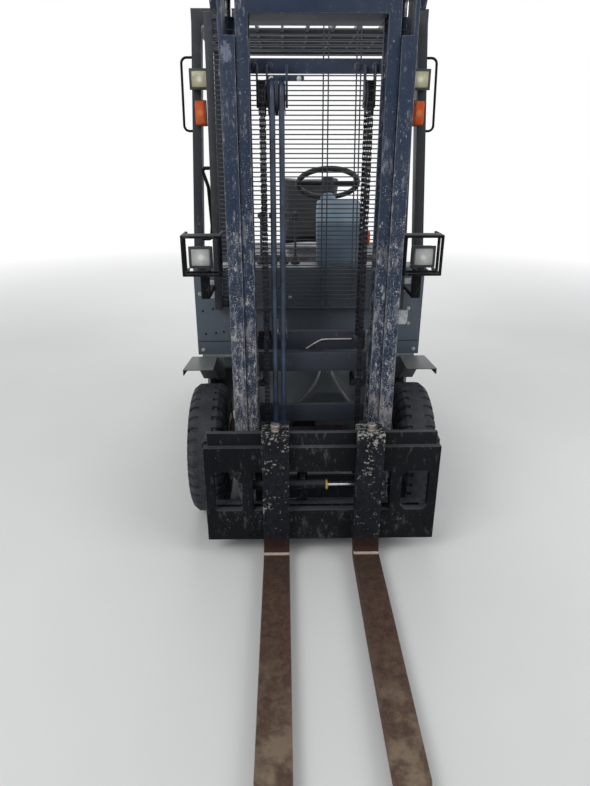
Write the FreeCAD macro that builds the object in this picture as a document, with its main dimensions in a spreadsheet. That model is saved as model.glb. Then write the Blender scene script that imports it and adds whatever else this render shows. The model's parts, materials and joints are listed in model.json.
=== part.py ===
import FreeCAD, Part
import math
import os
import Sketcher
from FreeCAD import Placement, Rotation, Vector

# A three-tonne class electric counterbalance forklift, in millimetres.
# It faces -Y. Z = 0 is the floor, and the origin is under the middle of its whole box.

SIZES = {
    # Main distances along the truck
    "wheelbase": 1600,
    "rear_overhang": 430,
    "mast_ahead": 305,
    "carriage_ahead": 140,
    # Forks
    "fork_long": 1150,
    "fork_wide": 110,
    "fork_thick": 45,
    "fork_tip_thick": 12,
    "fork_under": 8,
    "fork_spacing": 385,
    "fork_heel": 60,
    "hook_thick": 22,
    # Fork bars, 508 mm apart outside, and the side-shift frame on them
    "bar_low": 84,
    "bar_apart": 508,
    "bar_lower_tall": 148,
    "bar_upper_tall": 172,
    "top_strip_tall": 58,
    "plate_thick": 35,
    "strip_setback": 20,
    "strip_short": 16,
    "shift_wide": 980,
    "shift_now": 32,
    "end_strap": 38,
    "post_in": 290,
    "post_out": 336,
    "gusset_reach": 56,
    "window_chamfer": 22,
    # Carriage that runs in the inner mast
    "carriage_wide": 940,
    "base_bar_thick": 38,
    "base_bar_ahead": 70,
    "cheek_in": 217,
    "cheek_out": 231,
    "cheek_top": 500,
    "cheek_low": 140,
    "carriage_roller_rad": 41.5,
    "shift_barrel_rad": 20,
    "shift_rod_rad": 9,
    "shift_cylinder_up": 326,
    # Mast rails and ties
    "mast_top": 2240,
    "rail_foot": 75,
    "outer_in": 281,
    "outer_wide": 54,
    "outer_deep": 140,
    "outer_flange": 20,
    "outer_web": 14,
    "inner_in": 236,
    "inner_wide": 42,
    "inner_deep": 120,
    "inner_flange": 18,
    "inner_web": 10,
    "inner_foot": 85,
    "tie_thick": 18,
    "outer_tie_back": 195,
    "outer_tie_thick": 20,
    "gusset_thick": 12,
    "notch_tall": 227,
    "guide_down": 65,
    "ear_tall": 150,
    "pivot_boss_rad": 95,
    "boss_long": 32,
    # Lift, chains and hoses
    "lift_out": 322,
    "lift_back": 200,
    "barrel_rad": 32,
    "barrel_wall": 9,
    "barrel_foot": 100,
    "barrel_below_top": 145,
    "lift_rod_rad": 20,
    "lift_rod_foot": 250,
    "head_tall": 162,
    "bridge_down": 78,
    "sheave_down": 405,
    "sheave_below_tie": 78,
    "high_tie_tall": 48,
    "outer_middle_tie": 845,
    "outer_middle_tall": 84,
    "sheave_back": 125,
    "sheave_tread": 43,
    "sheave_flange": 58,
    "chain_out": 195.5,
    "chain_wide": 22,
    "chain_thick": 14,
    "chain_anchor": 270,
    "hose_rad": 11,
    "hose_one": 160,
    "hose_two": 125,
    "hose_pulley_back": 105,
    "hose_loop_rad": 55,
    "hose_foot": 272,
    "sheave_pin_rad": 9,
    # Tilt cylinders
    "tilt_eye_back": 270,
    "tilt_eye_up": 740,
    "tilt_base_back": 560,
    "tilt_base_up": 430,
    "tilt_out": 256,
    "tilt_barrel_rad": 34,
    "tilt_rod_rad": 18,
    "tilt_pin_rad": 12.5,
    "tilt_eye_slack": 5,
    # Wheels and axles
    "front_rad": 310,
    "front_tyre_wide": 185,
    "front_inset": 165,
    "front_rim_rad": 165,
    "rear_rad": 250,
    "rear_tyre_wide": 150,
    "rear_rim_rad": 118,
    "kingpin_inset": 190,
    "rear_offset": 125,
    "axle_rad": 60,
    "kingpin_rad": 18,
    # Body
    "body_wide": 1100,
    "cowl_front": 220,
    "cowl_low": 696,
    "cowl_top": 1142,
    "wall": 20,
    "floor_up": 600,
    "battery_front": 640,
    "battery_back": 1240,
    "battery_inset": 80,
    "battery_low": 330.3,
    "battery_top": 905,
    "hood_low": 930,
    "hood_thick": 40,
    "hood_front": 560,
    "hood_back": 1276,
    "weight_front": 1298,
    "weight_low": 220,
    "weight_top": 1020,
    "well_rad": 336,
    "well_top": 530,
    "tow_pin_rad": 16,
    "tow_pin_in": 105,
    # Overhead guard and mesh
    "guard_up": 2218,
    "guard_rail": 56,
    "guard_inset": 35,
    "roof_bar": 12,
    "roof_pitch": 120,
    "screen_inset": 100,
    "screen_bar": 34,
    "screen_low": 950,
    "screen_above_rail": 30,
    "work_lamp_down": 262,
    "turn_lamp_down": 407,
    "mesh_pitch": 19.5,
    "mesh_wire": 5,
    # Seat and controls
    "seat_half": 205,
    "seat_side": 40,
    "seat_top": 1100,
    "seat_back_top": 1512,
    "wheel_rim_rad": 160,
    "wheel_grip_rad": 13,
    "wheel_side": 100,
    "wheel_back": 520,
    "wheel_up": 1500,
    # Clearances
    "running_gap": 0.3,
    "slide_gap": 6,
}

doc = FreeCAD.newDocument("Forklift")


class Size:
    """A length together with the sheet expression that it comes from."""

    def __init__(self, value, text):
        self.value = float(value)
        self.text = text

    def mix(self, other, sign, result):
        return Size(result, f"({self.text} {sign} {other.text})")

    def __add__(self, other):
        other = size(other)
        return self.mix(other, "+", self.value + other.value)

    def __sub__(self, other):
        other = size(other)
        return self.mix(other, "-", self.value - other.value)

    def __mul__(self, other):
        other = size(other)
        return self.mix(other, "*", self.value * other.value)

    def __truediv__(self, other):
        other = size(other)
        return self.mix(other, "/", self.value / other.value)

    def __radd__(self, other):
        return size(other) + self

    def __rsub__(self, other):
        return size(other) - self

    def __rmul__(self, other):
        return size(other) * self

    def __neg__(self):
        return size(0) - self


def size(number):
    """Give a plain number the same form as a size from the sheet."""
    return number if isinstance(number, Size) else Size(number, f"{float(number):.6f}")


class Sheet:
    """The spreadsheet of driving sizes. Each one is read as an attribute."""

    def __init__(self, rows):
        self.cells = doc.addObject("Spreadsheet::Sheet", "Sizes")
        for line, (name, value) in enumerate(rows.items(), 1):
            self.cells.set(f"A{line}", name)
            self.cells.set(f"B{line}", str(value))
            self.cells.setAlias(f"B{line}", name)
        doc.recompute()

    def __getattr__(self, name):
        return Size(self.cells.get(name), f"Sizes.{name}")


s = Sheet(SIZES)


# Makers of bound shapes

def bind(item, **values):
    """Tie properties of an object to expressions of the sheet."""
    for name, value in values.items():
        path = {"px": "Placement.Base.x", "py": "Placement.Base.y", "pz": "Placement.Base.z"}.get(name, name)
        item.setExpression(path, size(value).text)
    return item


def box(name, x, y, z):
    """A block between two values along each axis."""
    item = doc.addObject("Part::Box", name)
    x, y, z = [(size(low), size(high)) for low, high in (x, y, z)]
    bind(item, Length=x[1] - x[0], Width=y[1] - y[0], Height=z[1] - z[0])
    return bind(item, px=x[0], py=y[0], pz=z[0])


TURNS = {
    "X": Rotation(Vector(0, 1, 0), 90),
    "Y": Rotation(Vector(1, 0, 0), -90),
    "Z": Rotation(),
}


def rod(name, axis, centre, span, radius):
    """A round bar along one axis. centre gives the two other coordinates in X, Y, Z order."""
    item = doc.addObject("Part::Cylinder", name)
    item.Placement = Placement(Vector(), TURNS[axis])
    low, high = size(span[0]), size(span[1])
    bind(item, Radius=radius, Height=high - low)
    first, second = centre
    place = {"X": (low, first, second), "Y": (first, low, second), "Z": (first, second, low)}[axis]
    return bind(item, px=place[0], py=place[1], pz=place[2])


def raked(name, low, high):
    """A bar whose foot and head are rectangles (x, x, y, y, z) at two heights."""
    item = doc.addObject("Part::Wedge", name)
    item.Placement = Placement(Vector(), Rotation(Vector(1, 0, 0), 90))
    low = [size(n) for n in low]
    high = [size(n) for n in high]
    bind(item, Xmin=low[0], Xmax=low[1], Zmin=-low[3], Zmax=-low[2], Ymin=low[4])
    return bind(item, X2min=high[0], X2max=high[1], Z2min=-high[3], Z2max=-high[2], Ymax=high[4])


def fuse(name, pieces):
    item = doc.addObject("Part::MultiFuse", name)
    item.Shapes = pieces
    item.Refine = True
    return item


def cut(name, base, tools):
    item = doc.addObject("Part::Cut", name)
    item.Base = base
    item.Tool = tools[0] if len(tools) == 1 else fuse(name + "_tools", tools)
    item.Refine = True
    return item


def both(*pieces):
    """Each piece and its mirror image on the other side of the truck."""
    result = []
    for piece in pieces:
        twin = doc.addObject("Part::Mirroring", piece.Name + "_twin")
        twin.Source = piece
        twin.Normal = Vector(1, 0, 0)
        result += [piece, twin]
    return result


def sketch_on(body, name, plane, outline, offset=0):
    """A closed outline on one of the body's planes, every corner bound to the sheet."""
    sketch = body.newObject("Sketcher::SketchObject", name)
    support = [item for item in body.Origin.OriginFeatures if item.Role == plane][0]
    sketch.AttachmentSupport = [(support, "")]
    sketch.MapMode = "FlatFace"
    sketch.setExpression("AttachmentOffset.Base.z", size(offset).text)
    corners = [(size(across), size(up)) for across, up in outline]
    count = len(corners)
    for place in range(count):
        here, after = corners[place], corners[(place + 1) % count]
        ends = [Vector(across.value, up.value, 0) for across, up in (here, after)]
        sketch.addGeometry(Part.LineSegment(*ends), False)
    for place in range(count):
        sketch.addConstraint(Sketcher.Constraint("Coincident", place, 2, (place + 1) % count, 1))
    for place, corner in enumerate(corners):
        for kind, value in zip(("DistanceX", "DistanceY"), corner):
            number = sketch.addConstraint(Sketcher.Constraint(kind, -1, 1, place, 1, value.value))
            sketch.setExpression(f"Constraints[{number}]", value.text)
    return sketch


def plate(name, plane, outline, low, high):
    """An outline padded from low to high: XY rises in Z, YZ runs in X, XZ runs in Y."""
    body = doc.addObject("PartDesign::Body", name)
    back = plane == "XZ_Plane"
    sketch = sketch_on(body, name + "_outline", plane, outline, -size(high) if back else low)
    pad = body.newObject("PartDesign::Pad", name + "_pad")
    pad.Profile = sketch
    pad.setExpression("Length", (size(high) - size(low)).text)
    return body


def turned(name, outline, place=None):
    """A body turned about the X axis from (along, radius) points, then put at its (y, z) centre."""
    body = doc.addObject("PartDesign::Body", name)
    sketch = sketch_on(body, name + "_section", "XY_Plane", outline)
    feature = body.newObject("PartDesign::Revolution", name + "_turned")
    feature.Profile = sketch
    feature.ReferenceAxis = (sketch, ["H_Axis"])
    feature.Angle = 360
    if place:
        bind(body, py=place[0], pz=place[1])
    return body


def soften(body, radius, chosen, kind="Fillet"):
    """Round or chamfer the edges of a body's last feature whose middle the test picks."""
    doc.recompute()
    base = body.Tip
    names = []
    for number, edge in enumerate(base.Shape.Edges, 1):
        middle = edge.valueAt((edge.FirstParameter + edge.LastParameter) / 2)
        if chosen(edge, middle):
            names.append(f"Edge{number}")
    if not names:
        raise RuntimeError(f"{body.Name}: no edge to soften")
    feature = body.newObject("PartDesign::" + kind, body.Name + "_" + kind.lower())
    feature.Base = (base, names)
    feature.setExpression("Radius" if kind == "Fillet" else "Size", size(radius).text)
    return body


def along(edge, direction):
    """Whether a straight edge runs along a direction."""
    if len(edge.Vertexes) < 2:
        return False
    run = edge.Vertexes[1].Point.sub(edge.Vertexes[0].Point)
    return run.Length > 0 and abs(abs(run.dot(direction)) - run.Length) < 1e-6


X_WAY = Vector(1, 0, 0)
Y_WAY = Vector(0, 1, 0)
Z_WAY = Vector(0, 0, 1)


def pipe(name, points, radius, bend):
    """A round tube or bar through points, with tangent arcs at its turns."""
    corners = [Vector(*[size(n).value for n in point]) for point in points]
    edges = []
    start = corners[0]
    for before, corner, after in zip(corners, corners[1:], corners[2:]):
        into = before.sub(corner).normalize()
        out = after.sub(corner).normalize()
        half = into.getAngle(out) / 2
        back = bend / math.tan(half)
        middle = into.add(out).normalize()
        first = corner.add(Vector(into).multiply(back))
        last = corner.add(Vector(out).multiply(back))
        top = corner.add(Vector(middle).multiply(bend / math.sin(half) - bend))
        edges.append(Part.makeLine(start, first))
        edges.append(Part.Arc(first, top, last).toShape())
        start = last
    edges.append(Part.makeLine(start, corners[-1]))
    path = Part.Wire(edges)
    ring = Part.Wire(Part.makeCircle(radius, corners[0], corners[1].sub(corners[0])))
    item = doc.addObject("Part::Feature", name)
    item.Shape = path.makePipeShell([ring], True, False)
    item.Placement = Placement()
    return item


def free_hose(name, points, radius):
    """A round hose through points, each turn as wide as 0.45 of its shorter run allows."""
    corners = [Vector(*[size(n).value for n in point]) for point in points]
    edges = []
    start = corners[0]
    bends = []
    for before, corner, after in zip(corners, corners[1:], corners[2:]):
        reach = 0.45 * min(before.distanceToPoint(corner), corner.distanceToPoint(after))
        into = before.sub(corner).normalize()
        out = after.sub(corner).normalize()
        half = into.getAngle(out) / 2
        bend = reach * math.tan(half)
        bends.append(round(bend))
        first = corner.add(Vector(into).multiply(reach))
        last = corner.add(Vector(out).multiply(reach))
        middle = into.add(out).normalize()
        top = corner.add(middle.multiply(bend / math.sin(half) - bend))
        edges.append(Part.makeLine(start, first))
        edges.append(Part.Arc(first, top, last).toShape())
        start = last
    edges.append(Part.makeLine(start, corners[-1]))
    path = Part.Wire(edges)
    ring = Part.Wire(Part.makeCircle(radius, corners[0], corners[1].sub(corners[0])))
    item = doc.addObject("Part::Feature", name)
    item.Shape = path.makePipeShell([ring], True, False)
    share = item.Shape.Volume / (math.pi * radius ** 2 * path.Length)
    print(f"{name}: {path.Length:.0f} mm long, bend radii {bends}, volume share {share:.3f}")
    return item


def node(item, label):
    """Name a finished sub-part after its node and keep it for writing."""
    item.Label = label
    nodes.append(item)
    return item


nodes = []

# Lines that everything is placed from

axle = (s.mast_ahead + s.carriage_ahead + s.fork_thick + s.fork_long - s.wheelbase - s.rear_overhang) / 2
mast = axle - s.mast_ahead
rear_axle = axle + s.wheelbase
rear_end = rear_axle + s.rear_overhang
half_body = s.body_wide / 2
front_track_in = half_body - s.front_inset
kingpin_out = half_body - s.kingpin_inset
battery_half = half_body - s.battery_inset
guard_half = half_body - s.guard_inset
screen_half = half_body - s.screen_inset
tie_top_low = s.mast_top - s.head_tall
guide_up = s.mast_top - s.guide_down
barrel_top = s.mast_top - s.barrel_below_top
bridge_low = s.mast_top - s.bridge_down
sheave_up = s.mast_top - s.sheave_down
high_tie = sheave_up + s.sheave_below_tie
outer_middle_top = s.outer_middle_tie + s.outer_middle_tall


# Wheels

def wheel(side, tag, inner, width, radius, rim, hub, centre):
    """A tyre pressed on its rim. The rim is dished on its outer side and bolts to the hub."""
    out = inner + width
    tyre = turned(f"{tag}_tyre", [
        (side * inner, rim), (side * out, rim), (side * out, radius * 0.72),
        (side * (out - width * 0.1), radius * 0.94), (side * (out - width * 0.22), radius),
        (side * (inner + width * 0.22), radius), (side * (inner + width * 0.1), radius * 0.94),
        (side * inner, radius * 0.72)], centre)
    edge = rim - s.running_gap
    dish = width * 0.42
    disc = turned(f"{tag}_rim", [
        (side * inner, hub), (side * inner, edge), (side * (out + 4), edge),
        (side * (out + 4), edge - 12), (side * (out - dish), edge - 34), (side * (out - dish), hub + 22),
        (side * (out - dish + 26), hub + 14), (side * (out - dish + 26), hub)], centre)
    return tyre, disc


hub_rad = s.axle_rad + s.running_gap
for tag, side in (("left", -1), ("right", 1)):
    tyre, disc = wheel(side, f"front_{tag}", front_track_in, s.front_tyre_wide, s.front_rad,
                       s.front_rim_rad, hub_rad, (axle, s.front_rad))
    node(tyre, f"front_tyre_{tag}")
    node(disc, f"front_rim_{tag}")

stub_rad = 34
rear_in = kingpin_out + s.rear_offset - s.rear_tyre_wide / 2
for tag, side in (("left", -1), ("right", 1)):
    tyre, disc = wheel(side, f"rear_{tag}", rear_in, s.rear_tyre_wide, s.rear_rad,
                       s.rear_rim_rad, stub_rad + s.running_gap, (rear_axle, s.rear_rad))
    node(tyre, f"rear_tyre_{tag}")
    node(disc, f"rear_rim_{tag}")

# Drive axle: one tube through both hubs, with the gear casing in its middle and a flange at each brake

flange_in = front_track_in - 22
drive_parts = [
    rod("axle_tube", "X", (axle, s.front_rad), (-flange_in, flange_in), s.axle_rad),
    rod("gear_case", "X", (axle + 20, s.front_rad), (24, 153), 128),
    box("gear_cover", (24, 153), (axle - 70, axle + 70), (s.front_rad + 60, s.front_rad + 145)),
    rod("gear_neck", "X", (axle + 20, s.front_rad), (-120, 24), 86),
    rod("motor_case", "Y", (0, s.front_rad + 20), (axle + 100, axle + 196), 95),
]
hub_out = front_track_in + s.front_tyre_wide * 0.58 + 26
drive_parts += both(
    rod("brake_flange", "X", (axle, s.front_rad), (flange_in, front_track_in - 5), 135),
    rod("hub_spindle", "X", (axle, s.front_rad), (front_track_in - 5, hub_out + 18), s.axle_rad),
)
node(fuse("drive_axle", drive_parts), "drive_axle")

# Steer axle: a beam between two forked ends, with a knuckle on a kingpin in each

beam_half = 42
fork_gap = 64
kingpin_low = s.rear_rad - 95
kingpin_high = s.rear_rad + 95
steer_parts = [
    box("beam", (-(kingpin_out - 70), kingpin_out - 70), (rear_axle - 60, rear_axle + 60),
        (s.rear_rad - 45, s.rear_rad + 45)),
    box("beam_saddle", (-90, 90), (rear_axle - 70, rear_axle + 70), (s.rear_rad + 45, s.well_top)),
    rod("steer_ram", "X", (rear_axle, s.rear_rad + 64), (-230, 230), 26),
]
steer_parts += both(
    box("yoke_back", (kingpin_out - 72, kingpin_out - 40), (rear_axle - beam_half, rear_axle + beam_half),
        (kingpin_low, kingpin_high)),
    box("yoke_top", (kingpin_out - 72, kingpin_out + 26), (rear_axle - 38, rear_axle + 38),
        (s.rear_rad + fork_gap, kingpin_high)),
    box("yoke_foot", (kingpin_out - 72, kingpin_out + 26), (rear_axle - 38, rear_axle + 38),
        (kingpin_low, s.rear_rad - fork_gap)),
)
king_holes = both(rod("king_hole", "Z", (kingpin_out, rear_axle), (kingpin_low - 1, kingpin_high + 1),
                      s.kingpin_rad + 0.06))
node(cut("steer_axle", fuse("steer_beam", steer_parts), king_holes), "steer_axle")

for tag, side in (("left", -1), ("right", 1)):
    mid = kingpin_out * side
    stub_end = rear_in + s.rear_tyre_wide * 0.58 + 40
    span = sorted((mid, stub_end * side), key=lambda n: n.value)
    pieces = [
        rod(f"kingpin_{tag}", "Z", (mid, rear_axle), (kingpin_low - 8, kingpin_high + 22), s.kingpin_rad),
        rod(f"knuckle_block_{tag}", "Z", (mid, rear_axle),
            (s.rear_rad - fork_gap + 1, s.rear_rad + fork_gap - 1), 32),
        rod(f"stub_{tag}", "X", (rear_axle, s.rear_rad), span, stub_rad),
    ]
    arm = sorted((mid - 16, mid + 16), key=lambda n: n.value)
    pieces.append(box(f"steer_arm_{tag}", arm, (rear_axle, rear_axle + 74),
                      (kingpin_high + 6, kingpin_high + 22)))
    node(fuse(f"knuckle_{tag}", pieces), f"knuckle_{tag}")

# Outer mast: two channels that open inwards, tied behind, on bosses that turn on the axle tube

rail_out = s.outer_in + s.outer_wide
rail_back = mast + s.outer_deep
channel = cut("outer_channel", plate("outer_rail", "XY_Plane", [
    (s.outer_in, mast), (rail_out, mast), (rail_out, rail_back), (s.outer_in, rail_back),
    (s.outer_in, rail_back - s.outer_flange), (rail_out - s.outer_web, rail_back - s.outer_flange),
    (rail_out - s.outer_web, mast + s.outer_flange), (s.outer_in, mast + s.outer_flange)],
    s.rail_foot, s.mast_top), [
    box("rail_notch", (s.outer_in - 1, rail_out - s.outer_web), (mast - 1, rail_back + 1),
        (s.mast_top - s.notch_tall, s.mast_top + 1))])
tie_front = mast + s.outer_tie_back
tie_back = tie_front + s.outer_tie_thick
gusset_in = s.outer_in + 7 - s.gusset_thick
gusset_out = s.outer_in + 7
outer_parts = []
# Cross ties of the outer mast: name, underside, top
for name, low, high in (("foot_tie", 104, 200), ("middle_tie", s.outer_middle_tie, outer_middle_top),
                        ("head_tie", high_tie + 8, high_tie + s.high_tie_tall + 4)):
    outer_parts.append(box(name, (-gusset_out, gusset_out), (tie_front, tie_back), (low, high)))
    outer_parts += both(box(name + "_gusset", (gusset_in, gusset_out), (rail_back, tie_back), (low, high)))
pivot_plate = plate("pivot_plate", "YZ_Plane", [
    (rail_back, 185), (axle - 20, s.front_rad - s.pivot_boss_rad), (axle, s.front_rad - s.pivot_boss_rad),
    (axle, s.front_rad + s.pivot_boss_rad), (rail_back, s.front_rad + 190)], gusset_in, gusset_out)
pivot_boss = rod("pivot_boss", "X", (axle, s.front_rad), (gusset_out - s.boss_long, gusset_out),
                 s.pivot_boss_rad)
eye_y = mast + s.tilt_eye_back
tilt_lug = plate("tilt_lug", "YZ_Plane", [
    (rail_back, s.tilt_eye_up - 110), (eye_y + 26, s.tilt_eye_up - 30), (eye_y + 34, s.tilt_eye_up),
    (eye_y + 26, s.tilt_eye_up + 30), (rail_back, s.tilt_eye_up + 110)], gusset_in, gusset_out)
tilt_pin = rod("tilt_pin", "X", (eye_y, s.tilt_eye_up), (s.tilt_out - 20, gusset_in), s.tilt_pin_rad)
foot_plate = box("barrel_foot_plate", (s.outer_in, s.lift_out + 34), (rail_back - 5, mast + s.lift_back + 40),
                 (s.barrel_foot - 20, s.barrel_foot))
ear = plate("mast_ear", "YZ_Plane", [
    (mast + 12, s.mast_top - s.ear_tall + 30), (mast + 40, s.mast_top - s.ear_tall),
    (mast + 100, s.mast_top - s.ear_tall), (mast + 128, s.mast_top - s.ear_tall + 30),
    (mast + 128, s.mast_top), (mast + 12, s.mast_top)], rail_out, rail_out + 26)
clamp_block = box("clamp_block", (gusset_in, s.lift_out + 30), (rail_back, mast + s.lift_back - 12),
                  (barrel_top - 200, barrel_top - 160))
clamp = cut("barrel_clamp", clamp_block,
            [rod("clamp_bore", "Z", (s.lift_out, mast + s.lift_back), (barrel_top - 201, barrel_top - 159),
                 s.barrel_rad + s.running_gap)])
guide_y = mast + s.outer_deep / 2
guide_roller = rod("top_roller", "X", (guide_y, guide_up), (s.inner_in + 28, s.inner_in + 40),
                   s.carriage_roller_rad)
guide_shaft = rod("top_roller_shaft", "X", (guide_y, guide_up),
                  (s.inner_in + 38, rail_out - s.outer_web + 4), 14)
chain_low = outer_middle_top - 18
hose_low = outer_middle_top - 3
chain_lug = box("chain_lug", (s.chain_out - 14, s.chain_out + 14), (mast + 163, tie_front),
                (chain_low - 25, chain_low))
outer_parts += both(channel, pivot_plate, pivot_boss, tilt_lug, tilt_pin, foot_plate, ear, clamp,
                    guide_roller, guide_shaft, chain_lug)
outer_parts.append(box("hose_clamp", (-s.hose_one - 18, -s.hose_two + 18), (mast + 155, tie_front),
                       (hose_low - 25, hose_low)))
rails_cut = cut("outer_mast_rails", fuse("outer_mast_all", outer_parts), [
    rod("pivot_bore", "X", (axle, s.front_rad), (-gusset_out - 1, gusset_out + 1), s.axle_rad + 0.5)])
node(rails_cut, "outer_mast_frame")

barrel_bore = s.barrel_rad - s.barrel_wall
lift_y = mast + s.lift_back
barrel = cut("lift_barrel", fuse("lift_barrel_body", [
    rod("barrel_tube", "Z", (s.lift_out, lift_y), (s.barrel_foot, barrel_top), s.barrel_rad),
    rod("barrel_gland", "Z", (s.lift_out, lift_y), (barrel_top - 40, barrel_top), s.barrel_rad + 2)]), [
    rod("barrel_bore", "Z", (s.lift_out, lift_y), (s.barrel_foot + 30, barrel_top + 1), barrel_bore)])
node(fuse("lift_barrels", both(barrel)), "lift_barrels")

# Inner mast: two I rails, tied at the back, that run on rollers in the outer channels

inner_out = s.inner_in + s.inner_wide
inner_front = mast + (s.outer_deep - s.inner_deep) / 2
inner_back = inner_front + s.inner_deep
web_in = s.inner_in + (s.inner_wide - s.inner_web) / 2
web_out = web_in + s.inner_web
beam = plate("inner_rail", "XY_Plane", [
    (s.inner_in, inner_front), (inner_out, inner_front), (inner_out, inner_front + s.inner_flange),
    (web_out, inner_front + s.inner_flange), (web_out, inner_back - s.inner_flange),
    (inner_out, inner_back - s.inner_flange), (inner_out, inner_back), (s.inner_in, inner_back),
    (s.inner_in, inner_back - s.inner_flange), (web_in, inner_back - s.inner_flange),
    (web_in, inner_front + s.inner_flange), (s.inner_in, inner_front + s.inner_flange)],
    s.inner_foot, s.mast_top)
inner_parts = []
tie_half = inner_out - 8
# Cross ties of the inner mast: name, underside, top
for name, low, high in (("inner_foot_tie", 120, 200), ("inner_low_tie", 527, 610),
                        ("inner_middle_tie", 767, 850),
                        ("inner_high_tie", high_tie, high_tie + s.high_tie_tall)):
    inner_parts.append(box(name, (-tie_half, tie_half), (inner_back, inner_back + s.tie_thick), (low, high)))
rod_bridge_back = lift_y + 35
inner_parts.append(box("head_face", (-s.inner_in, s.inner_in), (inner_front, inner_front + 18),
                       (tie_top_low, s.mast_top)))
inner_parts.append(box("head_shelf", (-s.inner_in, s.inner_in), (inner_front, rod_bridge_back),
                       (tie_top_low, tie_top_low + 18)))
inner_parts.append(box("rod_bridge", (-(s.lift_out + 30), s.lift_out + 30), (rail_back + 10, rod_bridge_back),
                       (bridge_low, bridge_low + 28)))
inner_parts += both(box("head_gusset", (s.inner_in - 16, s.inner_in), (inner_front, rod_bridge_back),
                        (tie_top_low, s.mast_top)))
low_roller = rod("foot_roller", "X", (guide_y, 160), (s.outer_in + 2, rail_out - s.outer_web - 2), 49.5)
low_shaft = rod("foot_roller_shaft", "X", (guide_y, 160), (web_out, s.outer_in + 2), 15)
sheave_y = mast + s.sheave_back
pulley_y = mast + s.hose_pulley_back
bracket_z = (sheave_up - 34, high_tie + 24)
bracket_y = (mast + 108, inner_back + s.tie_thick)
sheave_in = s.chain_out - 13.5
sheave_end = s.chain_out + 13.5
cheek_far = 7.5
inner_parts += both(
    low_roller, low_shaft,
    box("sheave_cheek_in", (sheave_in - cheek_far, sheave_in - 1.5), bracket_y, bracket_z),
    box("sheave_cheek_out", (sheave_end + 1.5, sheave_end + cheek_far), bracket_y, bracket_z),
    rod("sheave_pin", "X", (sheave_y, sheave_up), (sheave_in - cheek_far, sheave_end + cheek_far),
        s.sheave_pin_rad),
)
pulley_out = -s.hose_one - 14
pulley_in = -s.hose_two + 14
inner_parts += [
    box("pulley_cheek", (pulley_in + 1, pulley_in + 9), (mast + 92, inner_back + s.tie_thick), bracket_z),
    rod("pulley_pin", "X", (pulley_y + 10, sheave_up), (pulley_out - 1, pulley_in + 9), s.sheave_pin_rad),
]
inner_all = fuse("inner_mast_all", inner_parts + both(beam))
node(inner_all, "inner_mast_frame")

node(fuse("lift_rods", both(rod("lift_rod", "Z", (s.lift_out, lift_y), (s.lift_rod_foot, bridge_low),
                                s.lift_rod_rad))), "lift_rods")

pin_gap = s.sheave_pin_rad + s.running_gap
sheave = turned("chain_sheave", [
    (sheave_in, pin_gap), (sheave_in, s.sheave_flange), (sheave_in + 2.5, s.sheave_flange),
    (sheave_in + 2.5, s.sheave_tread), (sheave_end - 2.5, s.sheave_tread),
    (sheave_end - 2.5, s.sheave_flange), (sheave_end, s.sheave_flange), (sheave_end, pin_gap)],
    (sheave_y, sheave_up))
groove = s.hose_loop_rad - s.hose_rad
lip = s.hose_loop_rad + 5
hose_sheave = turned("hose_sheave", [
    (pulley_out, pin_gap), (pulley_out, lip), (-s.hose_one - 11.5, lip), (-s.hose_one - 11.5, groove),
    (-s.hose_one + 11.5, groove), (-s.hose_one + 11.5, lip), (-s.hose_two - 11.5, lip),
    (-s.hose_two - 11.5, groove), (-s.hose_two + 11.5, groove), (-s.hose_two + 11.5, lip),
    (pulley_in, lip), (pulley_in, pin_gap)], (pulley_y + 10, sheave_up))
node(fuse("mast_pulleys", both(sheave) + [hose_sheave]), "mast_pulleys")

# Leaf chains and hoses go from the carriage over their sheaves and down to the outer mast

chain_mid = s.sheave_tread + s.chain_thick / 2
chain_x = (s.chain_out - s.chain_wide / 2, s.chain_out + s.chain_wide / 2)
half_chain = s.chain_thick / 2 - 0.3
front_chain_y = sheave_y - chain_mid
back_chain_y = sheave_y + chain_mid
chain_front = box("chain_front", chain_x, (front_chain_y - half_chain, front_chain_y + half_chain),
                  (s.chain_anchor, sheave_up))
chain_rear = box("chain_rear", chain_x, (back_chain_y - half_chain, back_chain_y + half_chain),
                 (chain_low, sheave_up))
node(fuse("chain_front_runs", both(chain_front)), "chain_front_runs")
node(fuse("chain_rear_runs", both(chain_rear)), "chain_rear_runs")
hose_places = (("one", -s.hose_one), ("two", -s.hose_two))
hose_centre = pulley_y + 10
hose_radius = s.hose_rad - 0.3
for way, back, low in (("front", hose_centre - s.hose_loop_rad, s.hose_foot),
                       ("rear", hose_centre + s.hose_loop_rad, hose_low)):
    pair = [rod(f"hose_{way}_{tag}", "Z", (x, back), (low, sheave_up), hose_radius) for tag, x in hose_places]
    node(fuse(f"hose_{way}_runs", pair), f"hose_{way}_runs")


def half_ring(name, x, centre, inner, outer):
    """The upper half of a ring about the X axis, as a chain or a hose over its sheave."""
    ring = cut(name, rod(name + "_out", "X", centre, x, outer), [
        rod(name + "_in", "X", centre, (x[0] - 1, x[1] + 1), inner),
        box(name + "_below", (x[0] - 1, x[1] + 1), (centre[0] - outer - 1, centre[0] + outer + 1),
            (centre[1] - outer - 1, centre[1]))])
    return ring


wraps = both(half_ring("chain_wrap", chain_x, (sheave_y, sheave_up), s.sheave_tread + s.running_gap,
                       s.sheave_tread + s.chain_thick))
for tag, x in hose_places:
    wraps.append(half_ring(f"hose_wrap_{tag}", (x - 10, x + 10), (pulley_y + 10, sheave_up),
                           groove + s.running_gap, s.hose_loop_rad + 9))
node(fuse("pulley_wraps", wraps), "pulley_wraps")

# Carriage: two bars on cheek plates whose rollers run inside the inner rails

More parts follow.
